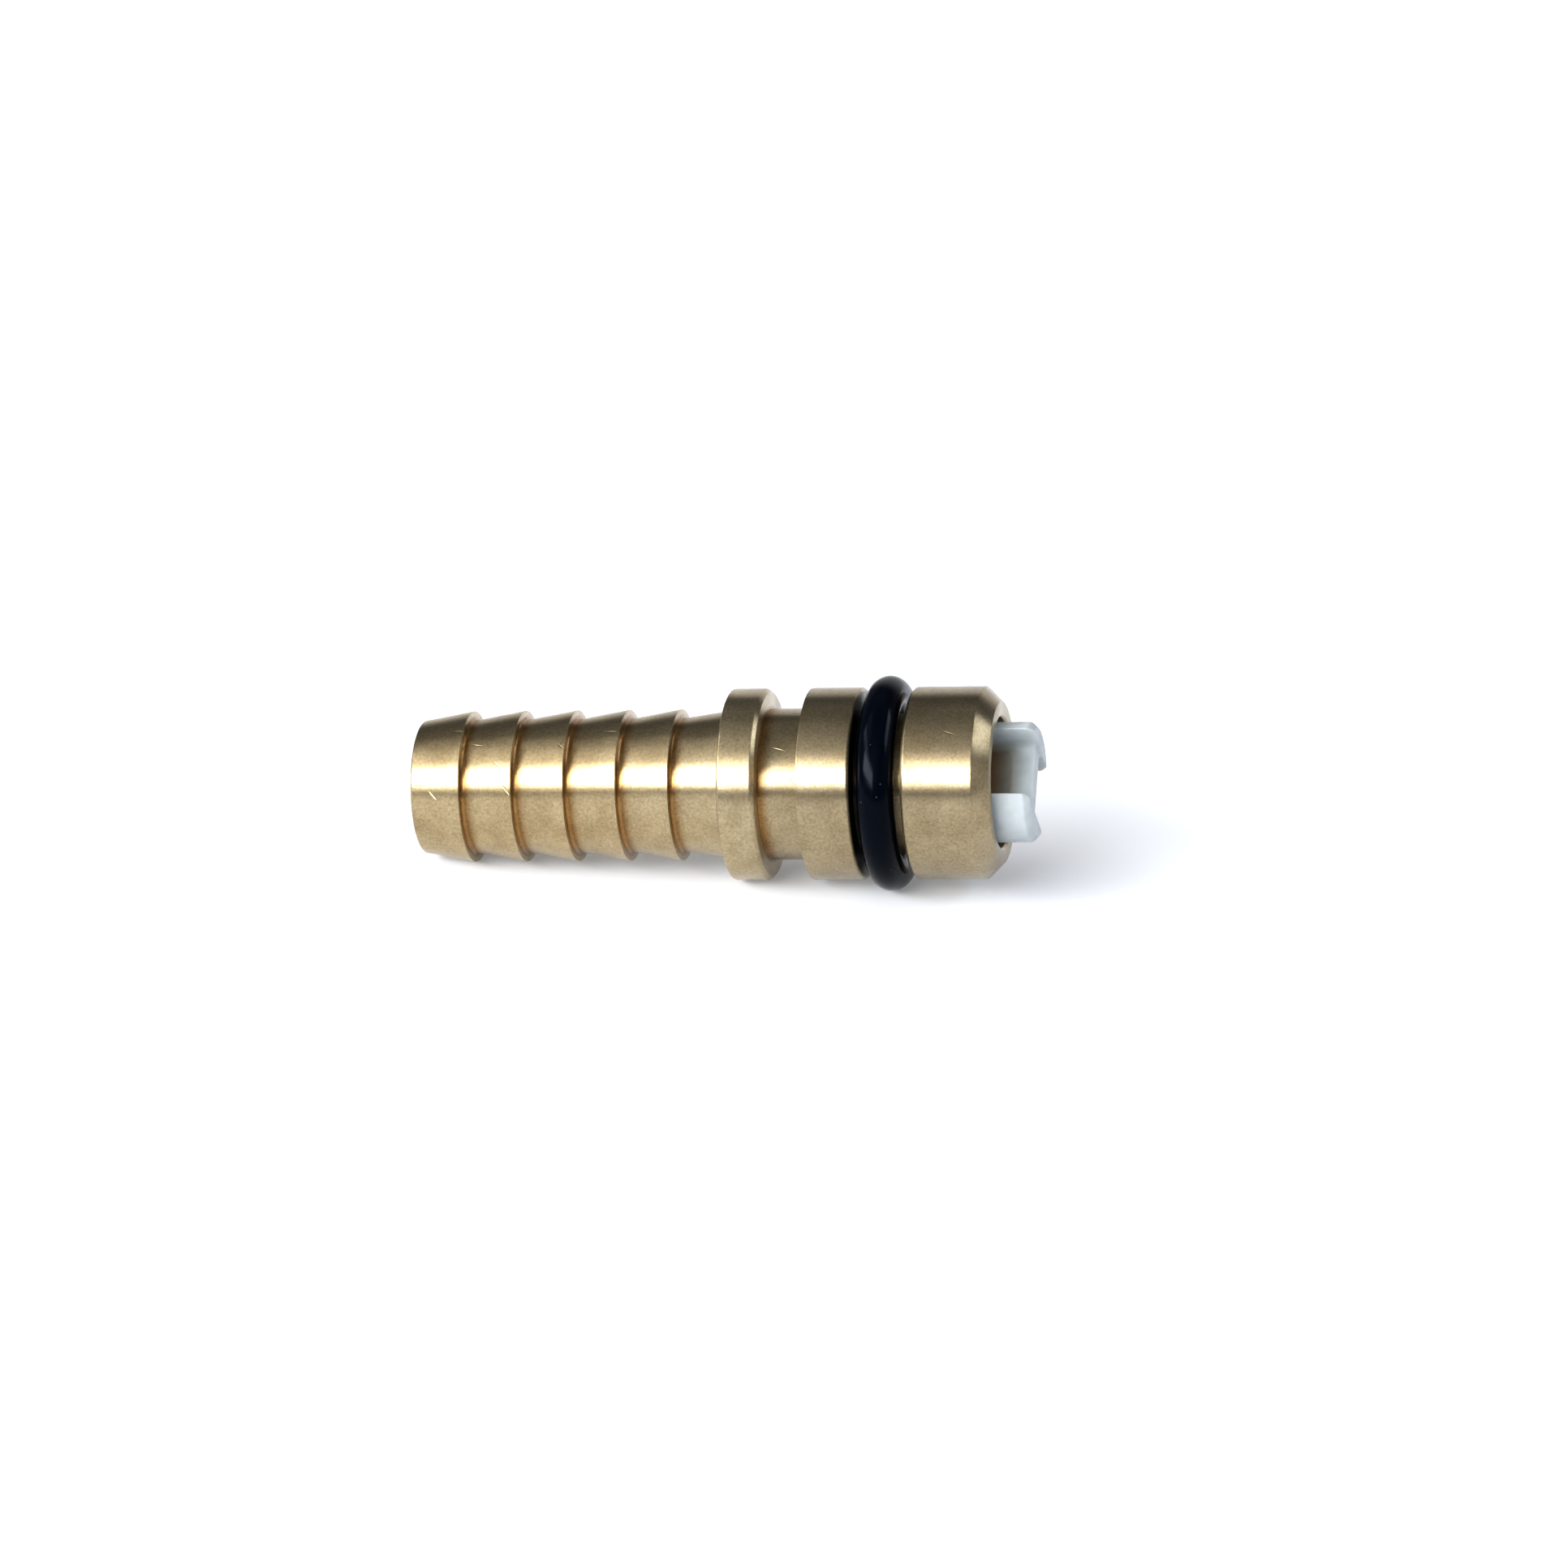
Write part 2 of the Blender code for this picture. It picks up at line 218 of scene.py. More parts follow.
@dataclass(frozen=True)
class RestingPose:
    """How the fitting lies on the table: on its O-ring and the back edge of its flange."""

    lean_degrees: float = 4.192630513515933
    barb_end: tuple[float, float, float] = (-0.021609067916870117, 0.0, 0.0050011747516691685)

    def matrix(self) -> Matrix:
        """Place of the fitting's own axes in the frame."""
        turn = Matrix.Rotation(-math.radians(self.lean_degrees), 4, "Y")
        return Matrix.Translation(self.barb_end) @ turn

    def axis(self) -> Vector:
        """Direction of the fitting's axis, towards the nose."""
        return (self.matrix().to_3x3() @ Vector((1.0, 0.0, 0.0))).normalized()

    def point(self, along: float) -> Vector:
        """Point of the axis at a place in millimetres from the barb end."""
        return self.matrix() @ Vector((along * MM, 0.0, 0.0))

    def lay_down(self, item: Item, body: Body, node: str) -> None:
        """Lay a finished piece down, and let it stand for its CAD node.

        Args:
            item: Piece in the fitting's own axes.
            body: Body that it rides on.
            node: CAD node that it stands for.
        """
        item.data.transform(self.matrix())
        item.data.update()
        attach(item, body.value)
        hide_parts(node)
        LOG.info("%s: %d faces, rides on %s", item.name, len(item.data.polygons), body.value)


def pattern_space(tree: Tree, pose: RestingPose) -> Signal:
    """Object coordinates turned so that X runs along the fitting's axis.

    Args:
        tree: Node tree of the material.
        pose: How the fitting lies.

    Returns:
        Vector, in metres.
    """
    coordinates = add_node(tree, "ShaderNodeTexCoord")
    return add_node(
        tree,
        "ShaderNodeMapping",
        {"vector_type": "TEXTURE"},
        {
            "Vector": coordinates.outputs["Object"],
            "Location": pose.barb_end,
            "Rotation": (0.0, -math.radians(pose.lean_degrees), 0.0),
        },
    )


def lathe_tangent(tree: Tree, pose: RestingPose) -> Signal:
    """Direction round the fitting's axis, along the marks that the lathe leaves.

    Args:
        tree: Node tree of the material.
        pose: How the fitting lies.

    Returns:
        Tangent in world space.
    """
    coordinates = add_node(tree, "ShaderNodeTexCoord")
    offset = add_node(
        tree,
        "ShaderNodeVectorMath",
        {"operation": "SUBTRACT"},
        {0: coordinates.outputs["Object"], 1: pose.barb_end},
    )
    around = add_node(
        tree,
        "ShaderNodeVectorMath",
        {"operation": "CROSS_PRODUCT"},
        {0: tuple(pose.axis()), 1: offset},
    )
    world = add_node(
        tree,
        "ShaderNodeVectorTransform",
        {"vector_type": "VECTOR", "convert_from": "OBJECT", "convert_to": "WORLD"},
        {"Vector": around},
    )
    return add_node(tree, "ShaderNodeVectorMath", {"operation": "NORMALIZE"}, {0: world})


def fine_grain(
    tree: Tree, space: Signal, size_mm: float, detail: float, depth_mm: float
) -> Signal:
    """Normal of the fine grain that a mould leaves on a moulded piece.

    Args:
        tree: Node tree of the material.
        space: Pattern space of the fitting.
        size_mm: Size of the grain.
        detail: Octaves of smaller grain in it.
        depth_mm: Depth of the grain.

    Returns:
        The normal.
    """
    inputs = {"Vector": space, "Scale": 1 / (size_mm * MM), "Detail": detail}
    grain = add_node(tree, "ShaderNodeTexNoise", inputs=inputs)
    inputs = {"Height": grain, "Distance": depth_mm * MM, "Strength": 1.0}
    return add_node(tree, "ShaderNodeBump", inputs=inputs)


@dataclass(frozen=True)
class DirtAndShadeTint:
    """Where a tint lies along a stretch of the axis, within a radius, in millimetres: real dirt
    and tone at some places, painted shade at others.
    """

    back: float
    front: float
    radius: float
    back_fade: float
    front_fade: float
    radius_fade: float
    colour: str
    amount: float

    def cover(self, tree: Tree, space: Signal, untinted: Signal) -> Signal:
        """Darken a colour where the tint lies.

        Args:
            tree: Node tree of the material.
            space: Pattern space of the fitting.
            untinted: Colour without the tint.

        Returns:
            Colour with the tint.
        """
        split = add_node(tree, "ShaderNodeSeparateXYZ", inputs={"Vector": space})
        along = split.outputs["X"]
        sideways = {"Y": split.outputs["Y"], "Z": split.outputs["Z"]}
        across = add_node(tree, "ShaderNodeCombineXYZ", inputs=sideways)
        radius = add_node(tree, "ShaderNodeVectorMath", {"operation": "LENGTH"}, {0: across})
        total: Signal | float = self.amount
        for value, full, none in (
            (along, self.front - self.front_fade, self.front),
            (along, self.back + self.back_fade, self.back),
            (radius, self.radius - self.radius_fade, self.radius),
        ):
            inputs = {
                "Value": value,
                "From Min": full * MM,
                "From Max": none * MM,
                "To Min": 1.0,
                "To Max": 0.0,
            }
            settings = {"interpolation_type": "SMOOTHSTEP"}
            share = add_node(tree, "ShaderNodeMapRange", settings, inputs)
            inputs = {0: total, 1: share}
            total = add_node(tree, "ShaderNodeMath", {"operation": "MULTIPLY"}, inputs)
        return add_node(
            tree,
            "ShaderNodeMix",
            {"data_type": "RGBA", "blend_type": "MULTIPLY"},
            {FACTOR: total, BELOW: untinted, ABOVE: linear(self.colour)},
        )


def painted_corner_shade(step: float, radius: float) -> DirtAndShadeTint:
    """Amber painted reflection and shade in front of a step, out to a radius."""
    return DirtAndShadeTint(
        back=step - 0.06,
        front=step + 1.05,
        radius=radius,
        back_fade=0.03,
        front_fade=0.95,
        radius_fade=0.15,
        colour="#cb9f5a",
        amount=0.85,
    )


@dataclass(frozen=True)
class TurnedBrass:
    """Free-cutting brass as it leaves the lathe and a tumbling drum.

    The tool leaves rings round the axis, so light spreads along it, and tumbling
    gives a fine satin grain with small nicks. Handling leaves dull olive patches.
    Sizes and depths of the patterns are in millimetres.
    """

    pose: RestingPose
    patch_colours: Stops = ((0.34, "#b19e79"), (0.52, "#bdab86"), (0.72, "#c6b48f"))
    speckle_colours: Stops = ((0.50, "#d2d2d2"), (0.98, "#ffffff"))
    patch_range: tuple[float, float] = (0.35, 0.70)
    roughness: tuple[float, float] = (0.36, 0.30)
    anisotropy: float = 0.86
    highlight_turn: float = 0.25
    oil_film: float = 0.15
    oil_roughness: float = 0.22
    patch: float = 2.2
    grain: float = 0.11
    coarse_grain: float = 1.7
    fine_share: float = 0.5
    grain_depth: float = 0.0030
    tool_ring: float = 0.16
    ring_stretch: float = 0.012
    ring_depth: float = 0.0010
    mean_radius: float = 5.6
    scratch_gap: float = 1.3
    scratch_stretch: float = 9.0
    scratch_turns: tuple[float, ...] = (38.0, 74.0, -24.0)
    plain_share: float = 0.62
    scratch_core: float = 0.014
    scratch_edge: float = 0.048
    scratch_depth: float = 0.014
    dirt_and_shade_tints: tuple[DirtAndShadeTint, ...] = (
        # Painted shade and dark reflection of the rubber in the gland, between the collar and the
        # O-ring.
        DirtAndShadeTint(31.1, 32.5, 6.45, 0.15, 0.15, 0.15, "#3a3226", 1.0),
        DirtAndShadeTint(-40.0, 27.0, 40.0, 1.0, 17.0, 1.0, "#fff9ee", 1.0),
        # Amber painted shade and reflection in front of each barb's step and in front of the
        # flange.
        *(painted_corner_shade(FIRST_BARB + BARB_PITCH * number, 4.98) for number in range(BARB_COUNT)),
        painted_corner_shade(24.70, 5.50),
        DirtAndShadeTint(21.0, 60.0, 40.0, 10.0, 1.0, 1.0, "#e2e0de", 1.0),
    )

    def material(self) -> bpy.types.Material:
        """Build the material.

        Returns:
            The brass.
        """
        material, tree, shader = new_material("turned_brass")
        space = pattern_space(tree, self.pose)
        grain, coarse, patches = (
            add_node(
                tree,
                "ShaderNodeTexNoise",
                inputs={"Vector": space, "Scale": 1 / (size * MM), "Detail": detail},
            )
            for size, detail in (
                (self.grain, 3.0),
                (self.grain * self.coarse_grain, 2.0),
                (self.patch, 4.0),
            )
        )
        mottle = add_node(
            tree,
            "ShaderNodeMath",
            {"operation": "MULTIPLY_ADD"},
            {0: grain, 1: self.fine_share, 2: coarse},
        )
        base, speckle = (
            add_node(tree, "ShaderNodeValToRGB", inputs={"Fac": pattern}, stops=stops)
            for pattern, stops in (
                (patches, self.patch_colours),
                (mottle, self.speckle_colours),
            )
        )
        colour = add_node(
            tree,
            "ShaderNodeMix",
            {"data_type": "RGBA", "blend_type": "MULTIPLY"},
            {FACTOR: 1.0, BELOW: base, ABOVE: speckle},
        )
        for dirt_or_shade_tint in self.dirt_and_shade_tints:
            colour = dirt_or_shade_tint.cover(tree, space, colour)
        inputs = {
            "Value": patches,
            "From Min": self.patch_range[0],
            "From Max": self.patch_range[1],
            "To Min": self.roughness[0],
            "To Max": self.roughness[1],
        }
        roughness = add_node(tree, "ShaderNodeMapRange", inputs=inputs)
        inputs = {
            "Base Color": colour,
            "Metallic": 1.0,
            "Roughness": roughness,
            "Anisotropic": self.anisotropy,
            "Anisotropic Rotation": self.highlight_turn,
            "Tangent": lathe_tangent(tree, self.pose),
            "Coat Weight": self.oil_film,
            "Coat Roughness": self.oil_roughness,
            "Normal": self.relief(tree, space, grain),
        }
        set_inputs(tree, shader, inputs)
        return material

    def relief(self, tree: Tree, space: Signal, grain: Signal) -> Signal:
        """Satin grain, tool rings and scratches, one on the other.

        Args:
            tree: Node tree of the material.
            space: Pattern space of the fitting.
            grain: Pattern of the grain.

        Returns:
            The normal.
        """
        stretch = (1.0, self.ring_stretch, self.ring_stretch)
        along = add_node(tree, "ShaderNodeMapping", inputs={"Vector": space, "Scale": stretch})
        inputs = {"Vector": along, "Scale": 1 / (self.tool_ring * MM), "Detail": 2.0}
        rings = add_node(tree, "ShaderNodeTexNoise", inputs=inputs)
        layers = [(grain, self.grain_depth), (rings, self.ring_depth)]
        flat = self.unrolled(tree, space)
        for turn in self.scratch_turns:
            layers.append((self.scratches(tree, flat, turn), self.scratch_depth))
        below = {}
        for pattern, depth in layers:
            inputs = below | {"Height": pattern, "Distance": depth * MM, "Strength": 1.0}
            below = {"Normal": add_node(tree, "ShaderNodeBump", inputs=inputs)}
        return below["Normal"]

    def unrolled(self, tree: Tree, space: Signal) -> Signal:
        """Coordinates on the turned surface: along the axis, and round it.

        Args:
            tree: Node tree of the material.
            space: Pattern space of the fitting.

        Returns:
            Flat vector, in metres.
        """
        split = add_node(tree, "ShaderNodeSeparateXYZ", inputs={"Vector": space})
        times = {"operation": "MULTIPLY"}
        front = add_node(tree, "ShaderNodeMath", times, {0: split.outputs["Y"], 1: -1.0})
        inputs = {0: split.outputs["Z"], 1: front}
        angle = add_node(tree, "ShaderNodeMath", {"operation": "ARCTAN2"}, inputs)
        arc = add_node(tree, "ShaderNodeMath", times, {0: angle, 1: self.mean_radius * MM})
        inputs = {"X": split.outputs["X"], "Y": arc}
        return add_node(tree, "ShaderNodeCombineXYZ", inputs=inputs)

    def scratches(self, tree: Tree, flat: Signal, turn: float) -> Signal:
        """Sparse short scratches in one direction, from tumbling with other fittings.

        Real ones are about 0.03 mm wide, and are drawn wider so that they show.

        Args:
            tree: Node tree of the material.
            flat: Coordinates on the turned surface.
            turn: Direction of the scratches, in degrees.

        Returns:
            Height, 0 in a scratch and 1 elsewhere.
        """
        slanted = add_node(
            tree,
            "ShaderNodeMapping",
            {"vector_type": "TEXTURE"},
            {
                "Vector": flat,
                "Rotation": (0.0, 0.0, math.radians(turn)),
                "Scale": (1.0, self.scratch_stretch, 1.0),
            },
        )
        scale = 1 / (self.scratch_gap * MM)
        cells = add_node(
            tree,
            "ShaderNodeTexVoronoi",
            {"voronoi_dimensions": "2D"},
            {"Vector": slanted, "Scale": scale, "Randomness": 1.0},
        )
        inputs = {0: cells.outputs["Color"], 1: self.plain_share}
        plain = add_node(tree, "ShaderNodeMath", {"operation": "LESS_THAN"}, inputs)
        inputs = {
            "Value": cells.outputs["Distance"],
            "From Min": self.scratch_core,
            "From Max": self.scratch_edge,
        }
        shallow = add_node(tree, "ShaderNodeMapRange", inputs=inputs)
        inputs = {0: plain, 1: shallow}
        return add_node(tree, "ShaderNodeMath", {"operation": "MAXIMUM"}, inputs)


@dataclass(frozen=True)
class MouldedRubber:
    """Black nitrile rubber from a polished mould: soft sheen, and dust on it.

    Sizes and depths of the patterns are in millimetres.
    """

    pose: RestingPose
    name: str = "moulded_nitrile_rubber"
    dust_colours: Stops = ((0.045, "#2f353c"), (0.075, "#010308"))
    sheen_colour: str = "#dcecff"
    sheen_level: float = 0.04
    refraction: float = 1.52
    roughness: tuple[float, float] = (0.07, 0.23)
    dust_gap: float = 0.9
    cloud: float = 0.8
    grain: float = 0.12
    grain_depth: float = 0.004

    def material(self) -> bpy.types.Material:
        """Build the material.

        Returns:
            The rubber.
        """
        material, tree, shader = new_material(self.name)
        space = pattern_space(tree, self.pose)
        scale = 1 / (self.dust_gap * MM)
        inputs = {"Vector": space, "Scale": scale, "Randomness": 1.0}
        specks = add_node(tree, "ShaderNodeTexVoronoi", inputs=inputs)
        inputs = {"Fac": specks.outputs["Distance"]}
        dust = add_node(tree, "ShaderNodeValToRGB", inputs=inputs, stops=self.dust_colours)
        inputs = {"Vector": space, "Scale": 1 / (self.cloud * MM), "Detail": 4.0}
        cloud = add_node(tree, "ShaderNodeTexNoise", inputs=inputs)
        inputs = {"Value": cloud, "To Min": self.roughness[0], "To Max": self.roughness[1]}
        inputs = {
            "Base Color": dust,
            "Roughness": add_node(tree, "ShaderNodeMapRange", inputs=inputs),
            "IOR": self.refraction,
            "Specular IOR Level": self.sheen_level,
            "Specular Tint": linear(self.sheen_colour),
            "Normal": fine_grain(tree, space, self.grain, 3.0, self.grain_depth),
        }
        set_inputs(tree, shader, inputs)
        return material


@dataclass(frozen=True)
class MouldedAcetal:
    """Natural acetal from a mould: milky, a little translucent, with a soft sheen.

    Sizes and depths of the patterns are in millimetres.
    """

    pose: RestingPose
    name: str = "moulded_acetal"
    cloud_colours: Stops = ((0.35, "#b3bcbf"), (0.65, "#c2cacc"))
    roughness: float = 0.48
    scatter: float = 0.80
    dirt_and_shade_tints: tuple[DirtAndShadeTint, ...] = ()
    refraction: float = 1.48
    scatter_depth: float = 2.0
    scatter_colour: tuple[float, float, float] = (1.0, 0.9, 0.8)
    cloud: float = 1.4
    grain: float = 0.35
    grain_depth: float = 0.010

    def material(self) -> bpy.types.Material:
        """Build the material.

        Returns:
            The plastic.
        """
        material, tree, shader = new_material(self.name)
        space = pattern_space(tree, self.pose)
        inputs = {"Vector": space, "Scale": 1 / (self.cloud * MM), "Detail": 3.0}
        inputs = {"Fac": add_node(tree, "ShaderNodeTexNoise", inputs=inputs)}
        colour = add_node(tree, "ShaderNodeValToRGB", inputs=inputs, stops=self.cloud_colours)
        for dirt_or_shade_tint in self.dirt_and_shade_tints:
            colour = dirt_or_shade_tint.cover(tree, space, colour)
        inputs = {
            "Base Color": colour,
            "Roughness": self.roughness,
            "IOR": self.refraction,
            "Subsurface Weight": self.scatter,
            "Subsurface Radius": self.scatter_colour,
            "Subsurface Scale": self.scatter_depth * MM,
            "Normal": fine_grain(tree, space, self.grain, 2.0, self.grain_depth),
        }
        set_inputs(tree, shader, inputs)
        return material


@dataclass(frozen=True)
class DrawnSteel:
    """Stainless spring wire: bright, with fine lines from the drawing die.

    Sizes and depths of the patterns are in millimetres.
    """

    pose: RestingPose
    cloud_colours: Stops = ((0.35, "#9b9da0"), (0.65, "#b9bbbd"))
    roughness: float = 0.26
    cloud: float = 0.3
    cloud_depth: float = 0.003

    def material(self) -> bpy.types.Material:
        """Build the material.

        Returns:
            The steel.
        """
        material, tree, shader = new_material("drawn_stainless_wire")
        space = pattern_space(tree, self.pose)
        inputs = {"Vector": space, "Scale": 1 / (self.cloud * MM), "Detail": 3.0}
        cloud = add_node(tree, "ShaderNodeTexNoise", inputs=inputs)
        inputs = {"Fac": cloud}
        colour = add_node(tree, "ShaderNodeValToRGB", inputs=inputs, stops=self.cloud_colours)
        inputs = {"Height": cloud, "Distance": self.cloud_depth * MM, "Strength": 1.0}
        inputs = {
            "Base Color": colour,
            "Metallic": 1.0,
            "Roughness": self.roughness,
            "Normal": add_node(tree, "ShaderNodeBump", inputs=inputs),
        }
        set_inputs(tree, shader, inputs)
        return material


def deselect_all() -> None:
    """Leave object mode's selection empty."""
    for item in bpy.context.view_layer.objects:
        item.select_set(False)
    bpy.context.view_layer.objects.active = None


def make_active(item: Item) -> None:
    """Select one object and nothing else.

    Args:
        item: Object to select.
    """
    deselect_all()
    item.select_set(True)
    bpy.context.view_layer.objects.active = item


def apply_modifiers(item: Item) -> None:
    """Apply every modifier of an object, in order.

    Args:
        item: Object that has them.
    """
    make_active(item)
    for modifier in list(item.modifiers):
        bpy.ops.object.modifier_apply(modifier=modifier.name)


def take_new(name: str) -> Item:
    """Name the primitive that was just added, with its place and turn in its mesh.

    Args:
        name: Its name.

    Returns:
        The primitive.
    """
    item = bpy.context.active_object
    item.name = name
    item.data.name = name
    bpy.ops.object.transform_apply(location=True, rotation=True, scale=True)
    return item


def select_parts(item: Item, kind: str, chosen: Callable) -> None:
    """Go into edit mode with only some vertices or edges selected.

    Args:
        item: Object to edit.
        kind: "VERT" or "EDGE".
        chosen: Says of one vertex or edge whether it is selected.
    """
    make_active(item)
    bpy.ops.object.mode_set(mode="EDIT")
    bpy.ops.mesh.select_all(action="DESELECT")
    bpy.ops.mesh.select_mode(type=kind)
    form = bmesh.from_edit_mesh(item.data)
    for part in form.verts if kind == "VERT" else form.edges:
        part.select_set(chosen(part))
    form.select_flush_mode()
    bmesh.update_edit_mesh(item.data)


def outward(item: Item) -> None:
    """Merge doubles and point the faces of a closed shape outwards.

    Args:
        item: Object to mend.
    """
    make_active(item)
    bpy.ops.object.mode_set(mode="EDIT")
    bpy.ops.mesh.select_all(action="SELECT")
    bpy.ops.mesh.remove_doubles(threshold=MERGING_DISTANCE)
    bpy.ops.mesh.normals_make_consistent(inside=False)
    bpy.ops.object.mode_set(mode="OBJECT")


@dataclass
class Lathe:
    """Turns an outline about the X axis, one extruded ring after the other."""

    sides: int = 160

    def turn(self, name: str, outline: Outline, ends: Ends) -> Item:
        """Extrude a circle along an outline.

        Args:
            name: Name of the piece.
            outline: Places along the axis and radii, in millimetres.
            ends: Whether the outline closes on itself or is capped.

        Returns:
            The turned piece.
        """
        deselect_all()
        place, radius = outline[0]
        bpy.ops.mesh.primitive_circle_add(
            vertices=self.sides,
            radius=radius * MM,
            fill_type="NGON" if ends is Ends.CAPPED else "NOTHING",
            location=(place * MM, 0.0, 0.0),
            rotation=(0.0, math.pi / 2, 0.0),
        )
        item = take_new(name)
        bpy.ops.object.mode_set(mode="EDIT")
        bpy.ops.mesh.select_all(action="SELECT")
        path = outline[1:]
        if ends is Ends.CLOSED:
            path = path + outline[:1]
        for new_place, new_radius in path:
            self.extrude_ring(ends, place, radius, new_place, new_radius)
            place, radius = new_place, new_radius
        bpy.ops.object.mode_set(mode="OBJECT")
        outward(item)
        return item

    def extrude_ring(
        self, ends: Ends, place: float, radius: float, new_place: float, new_radius: float
    ) -> None:
        """Extrude the selected ring to its next place and size.

        Args:
            ends: Whether the ring carries its cap along.
            place: Where the ring is, in millimetres.
            radius: Its radius.
            new_place: Where it goes.
            new_radius: The radius that it gets.
        """
        move = {"value": ((new_place - place) * MM, 0.0, 0.0)}
        if ends is Ends.CAPPED:
            bpy.ops.mesh.extrude_region_move(TRANSFORM_OT_translate=move)
        else:
            bpy.ops.mesh.extrude_edges_move(TRANSFORM_OT_translate=move)
        ratio = new_radius / radius
        if abs(ratio - 1.0) > SAME_RATIO:
            bpy.ops.transform.resize(
                value=(1.0, ratio, ratio), center_override=(new_place * MM, 0.0, 0.0)
            )


def break_edges(item: Item, width_mm: float, segments: int) -> None:
    """Round the sharp edges of a piece a little, as deburring does.

    Args:
        item: Piece to round.
        width_mm: Width of the rounding.
        segments: Faces across it.
    """
    bevel = item.modifiers.new("deburred", "BEVEL")
    bevel.width = width_mm * MM
    bevel.segments = segments
    bevel.limit_method = "ANGLE"
    bevel.angle_limit = math.radians(BREAK_ANGLE)
    bevel.use_clamp_overlap = True
    apply_modifiers(item)


def shade(item: Item, angle: float, material: bpy.types.Material) -> None:
    """Shade a piece smooth up to an angle and dress it.

    Args:
        item: Piece to dress.
        angle: Edges sharper than this, in degrees, stay sharp.
        material: Its finish.
    """
    make_active(item)
    bpy.ops.object.shade_smooth_by_angle(angle=math.radians(angle))
    item.data.materials.clear()
    item.data.materials.append(material)


def weigh_normals(item: Item) -> None:
    """Let large faces set the shading, so cones look straight up to their edges.

    Args:
        item: Piece to shade.
    """
    weigh = item.modifiers.new("weighed", "WEIGHTED_NORMAL")
    weigh.mode = "FACE_AREA"
    weigh.weight = 100
    weigh.keep_sharp = True
    apply_modifiers(item)


@dataclass
class TurnedBody:
    """The brass body, turned from one bar."""

    pose: RestingPose
    barb_count: int = BARB_COUNT
    barb_pitch: float = BARB_PITCH
    first_barb: float = FIRST_BARB
    barb_root: float = 4.60
    barb_crest: float = 5.26
    end_break: float = 0.13
    tail_length: float = 3.67
    tail_radius: float = 5.15
    flange_radius: float = 6.645
    flange_width: float = 2.63
    flange_back_break: float = 0.13
    flange_front_break: float = 0.28
    groove_radius: float = 5.24
    groove_width: float = 2.96
    collar_width: float = 3.66
    collar_break: float = 0.15
    gland_radius: float = 4.85
    gland_width: float = 3.56
    nose_length: float = 6.02
    nose_break: float = 0.20
    nose_chamfer: float = 1.06
    bore_radius: float = 3.50
    seat_back: float = 25.60
    seat_thickness: float = 1.60
    seat_hole: float = 2.35
    nose_bore_radius: float = 4.50
    nose_bore_depth: float = 4.90
    bore_break: float = 0.15
    root_fillet: float = 0.30
    fillet_steps: int = 4
    cone_slope: float = 0.18
    edge_rounding: float = 0.06
    smooth_angle: float = 34.0
    lathe: Lathe = field(default_factory=Lathe)

    def flange_back(self) -> float:
        """Place of the back of the flange."""
        return self.first_barb + (self.barb_count - 1) * self.barb_pitch + self.tail_length

    def nose_front(self) -> float:
        """Place of the end face of the nose."""
        widths = self.flange_width + self.groove_width + self.collar_width
        return self.flange_back() + widths + self.gland_width + self.nose_length

    def shank(self) -> Outline:
        """Outline of the barbs and the plain cone behind the flange.

        Returns:
            Points from the barb end to the flange.
        """
        rise = (self.barb_crest - self.barb_root) / self.first_barb
        start = self.barb_root + rise * self.end_break
        points = [(0.0, self.barb_root - self.end_break), (self.end_break, start)]
        for number in range(self.barb_count):
            crest = self.first_barb + number * self.barb_pitch
            points.append((crest, self.barb_crest))
            points.extend(self.tool_fillet(crest, self.barb_root))
        points.append((self.flange_back(), self.tail_radius))
        return points

    def tool_fillet(self, corner: float, root: float) -> Outline:
        """Hollow that the round nose of the tool leaves in front of a step.

        Args:
            corner: Place of the step.
            root: Radius at its foot.

        Returns:
            Points from the step to the next cone.
        """
        points = []
        for step in range(self.fillet_steps + 1):
            angle = math.pi / 2 * step / self.fillet_steps
            along = self.root_fillet * (1.0 - math.cos(angle))
            rise = self.root_fillet * (1.0 - math.sin(angle))
            points.append((corner + along, root + rise + self.cone_slope * along))
        return points

    def head(self) -> Outline:
        """Outline of the flange, groove, collar, gland and nose.

        Returns:
            Points from the flange to the end face.
        """
        back = self.flange_back()
        front = back + self.flange_width
        collar = front + self.groove_width
        gland = collar + self.collar_width
        nose = gland + self.gland_width
        end = self.nose_front()
        tall = self.flange_radius
        return [
            (back, tall - self.flange_back_break),
            (back + self.flange_back_break, tall),
            (front - self.flange_front_break, tall),
            (front, tall - self.flange_front_break),
            (front, self.groove_radius),
            (collar, self.groove_radius),
            (collar, tall),
            (gland - self.collar_break, tall),
            (gland, tall - self.collar_break),
            (gland, self.gland_radius),
            (nose, self.gland_radius),
            (nose, tall - self.nose_break),
            (nose + self.nose_break, tall),
            (end - self.nose_chamfer, tall),
            (end, tall - self.nose_chamfer),
        ]

    def bores(self) -> Outline:
        """Outline of the bores.

        Returns:
            Points from the nose back to the barb end.
        """
        end = self.nose_front()
        floor = end - self.nose_bore_depth
        seat_front = self.seat_back + self.seat_thickness
        return [
            (end, self.nose_bore_radius + self.bore_break),
            (end - self.bore_break, self.nose_bore_radius),
            (floor, self.nose_bore_radius),
            (floor, self.bore_radius),
            (seat_front, self.bore_radius),
            (seat_front, self.seat_hole),
            (self.seat_back, self.seat_hole),
            (self.seat_back, self.bore_radius),
            (0.0, self.bore_radius),
        ]

    def build(self, finish: TurnedBrass) -> None:
        """Turn the body and dress it.

        Args:
            finish: Finish of the brass.
        """
        outline = self.shank() + self.head() + self.bores()
        item = self.lathe.turn("turned_body", outline, Ends.CLOSED)
        break_edges(item, self.edge_rounding, 2)
        shade(item, self.smooth_angle, finish.material())
        weigh_normals(item)
        self.pose.lay_down(item, Body.FITTING, "barb_body")


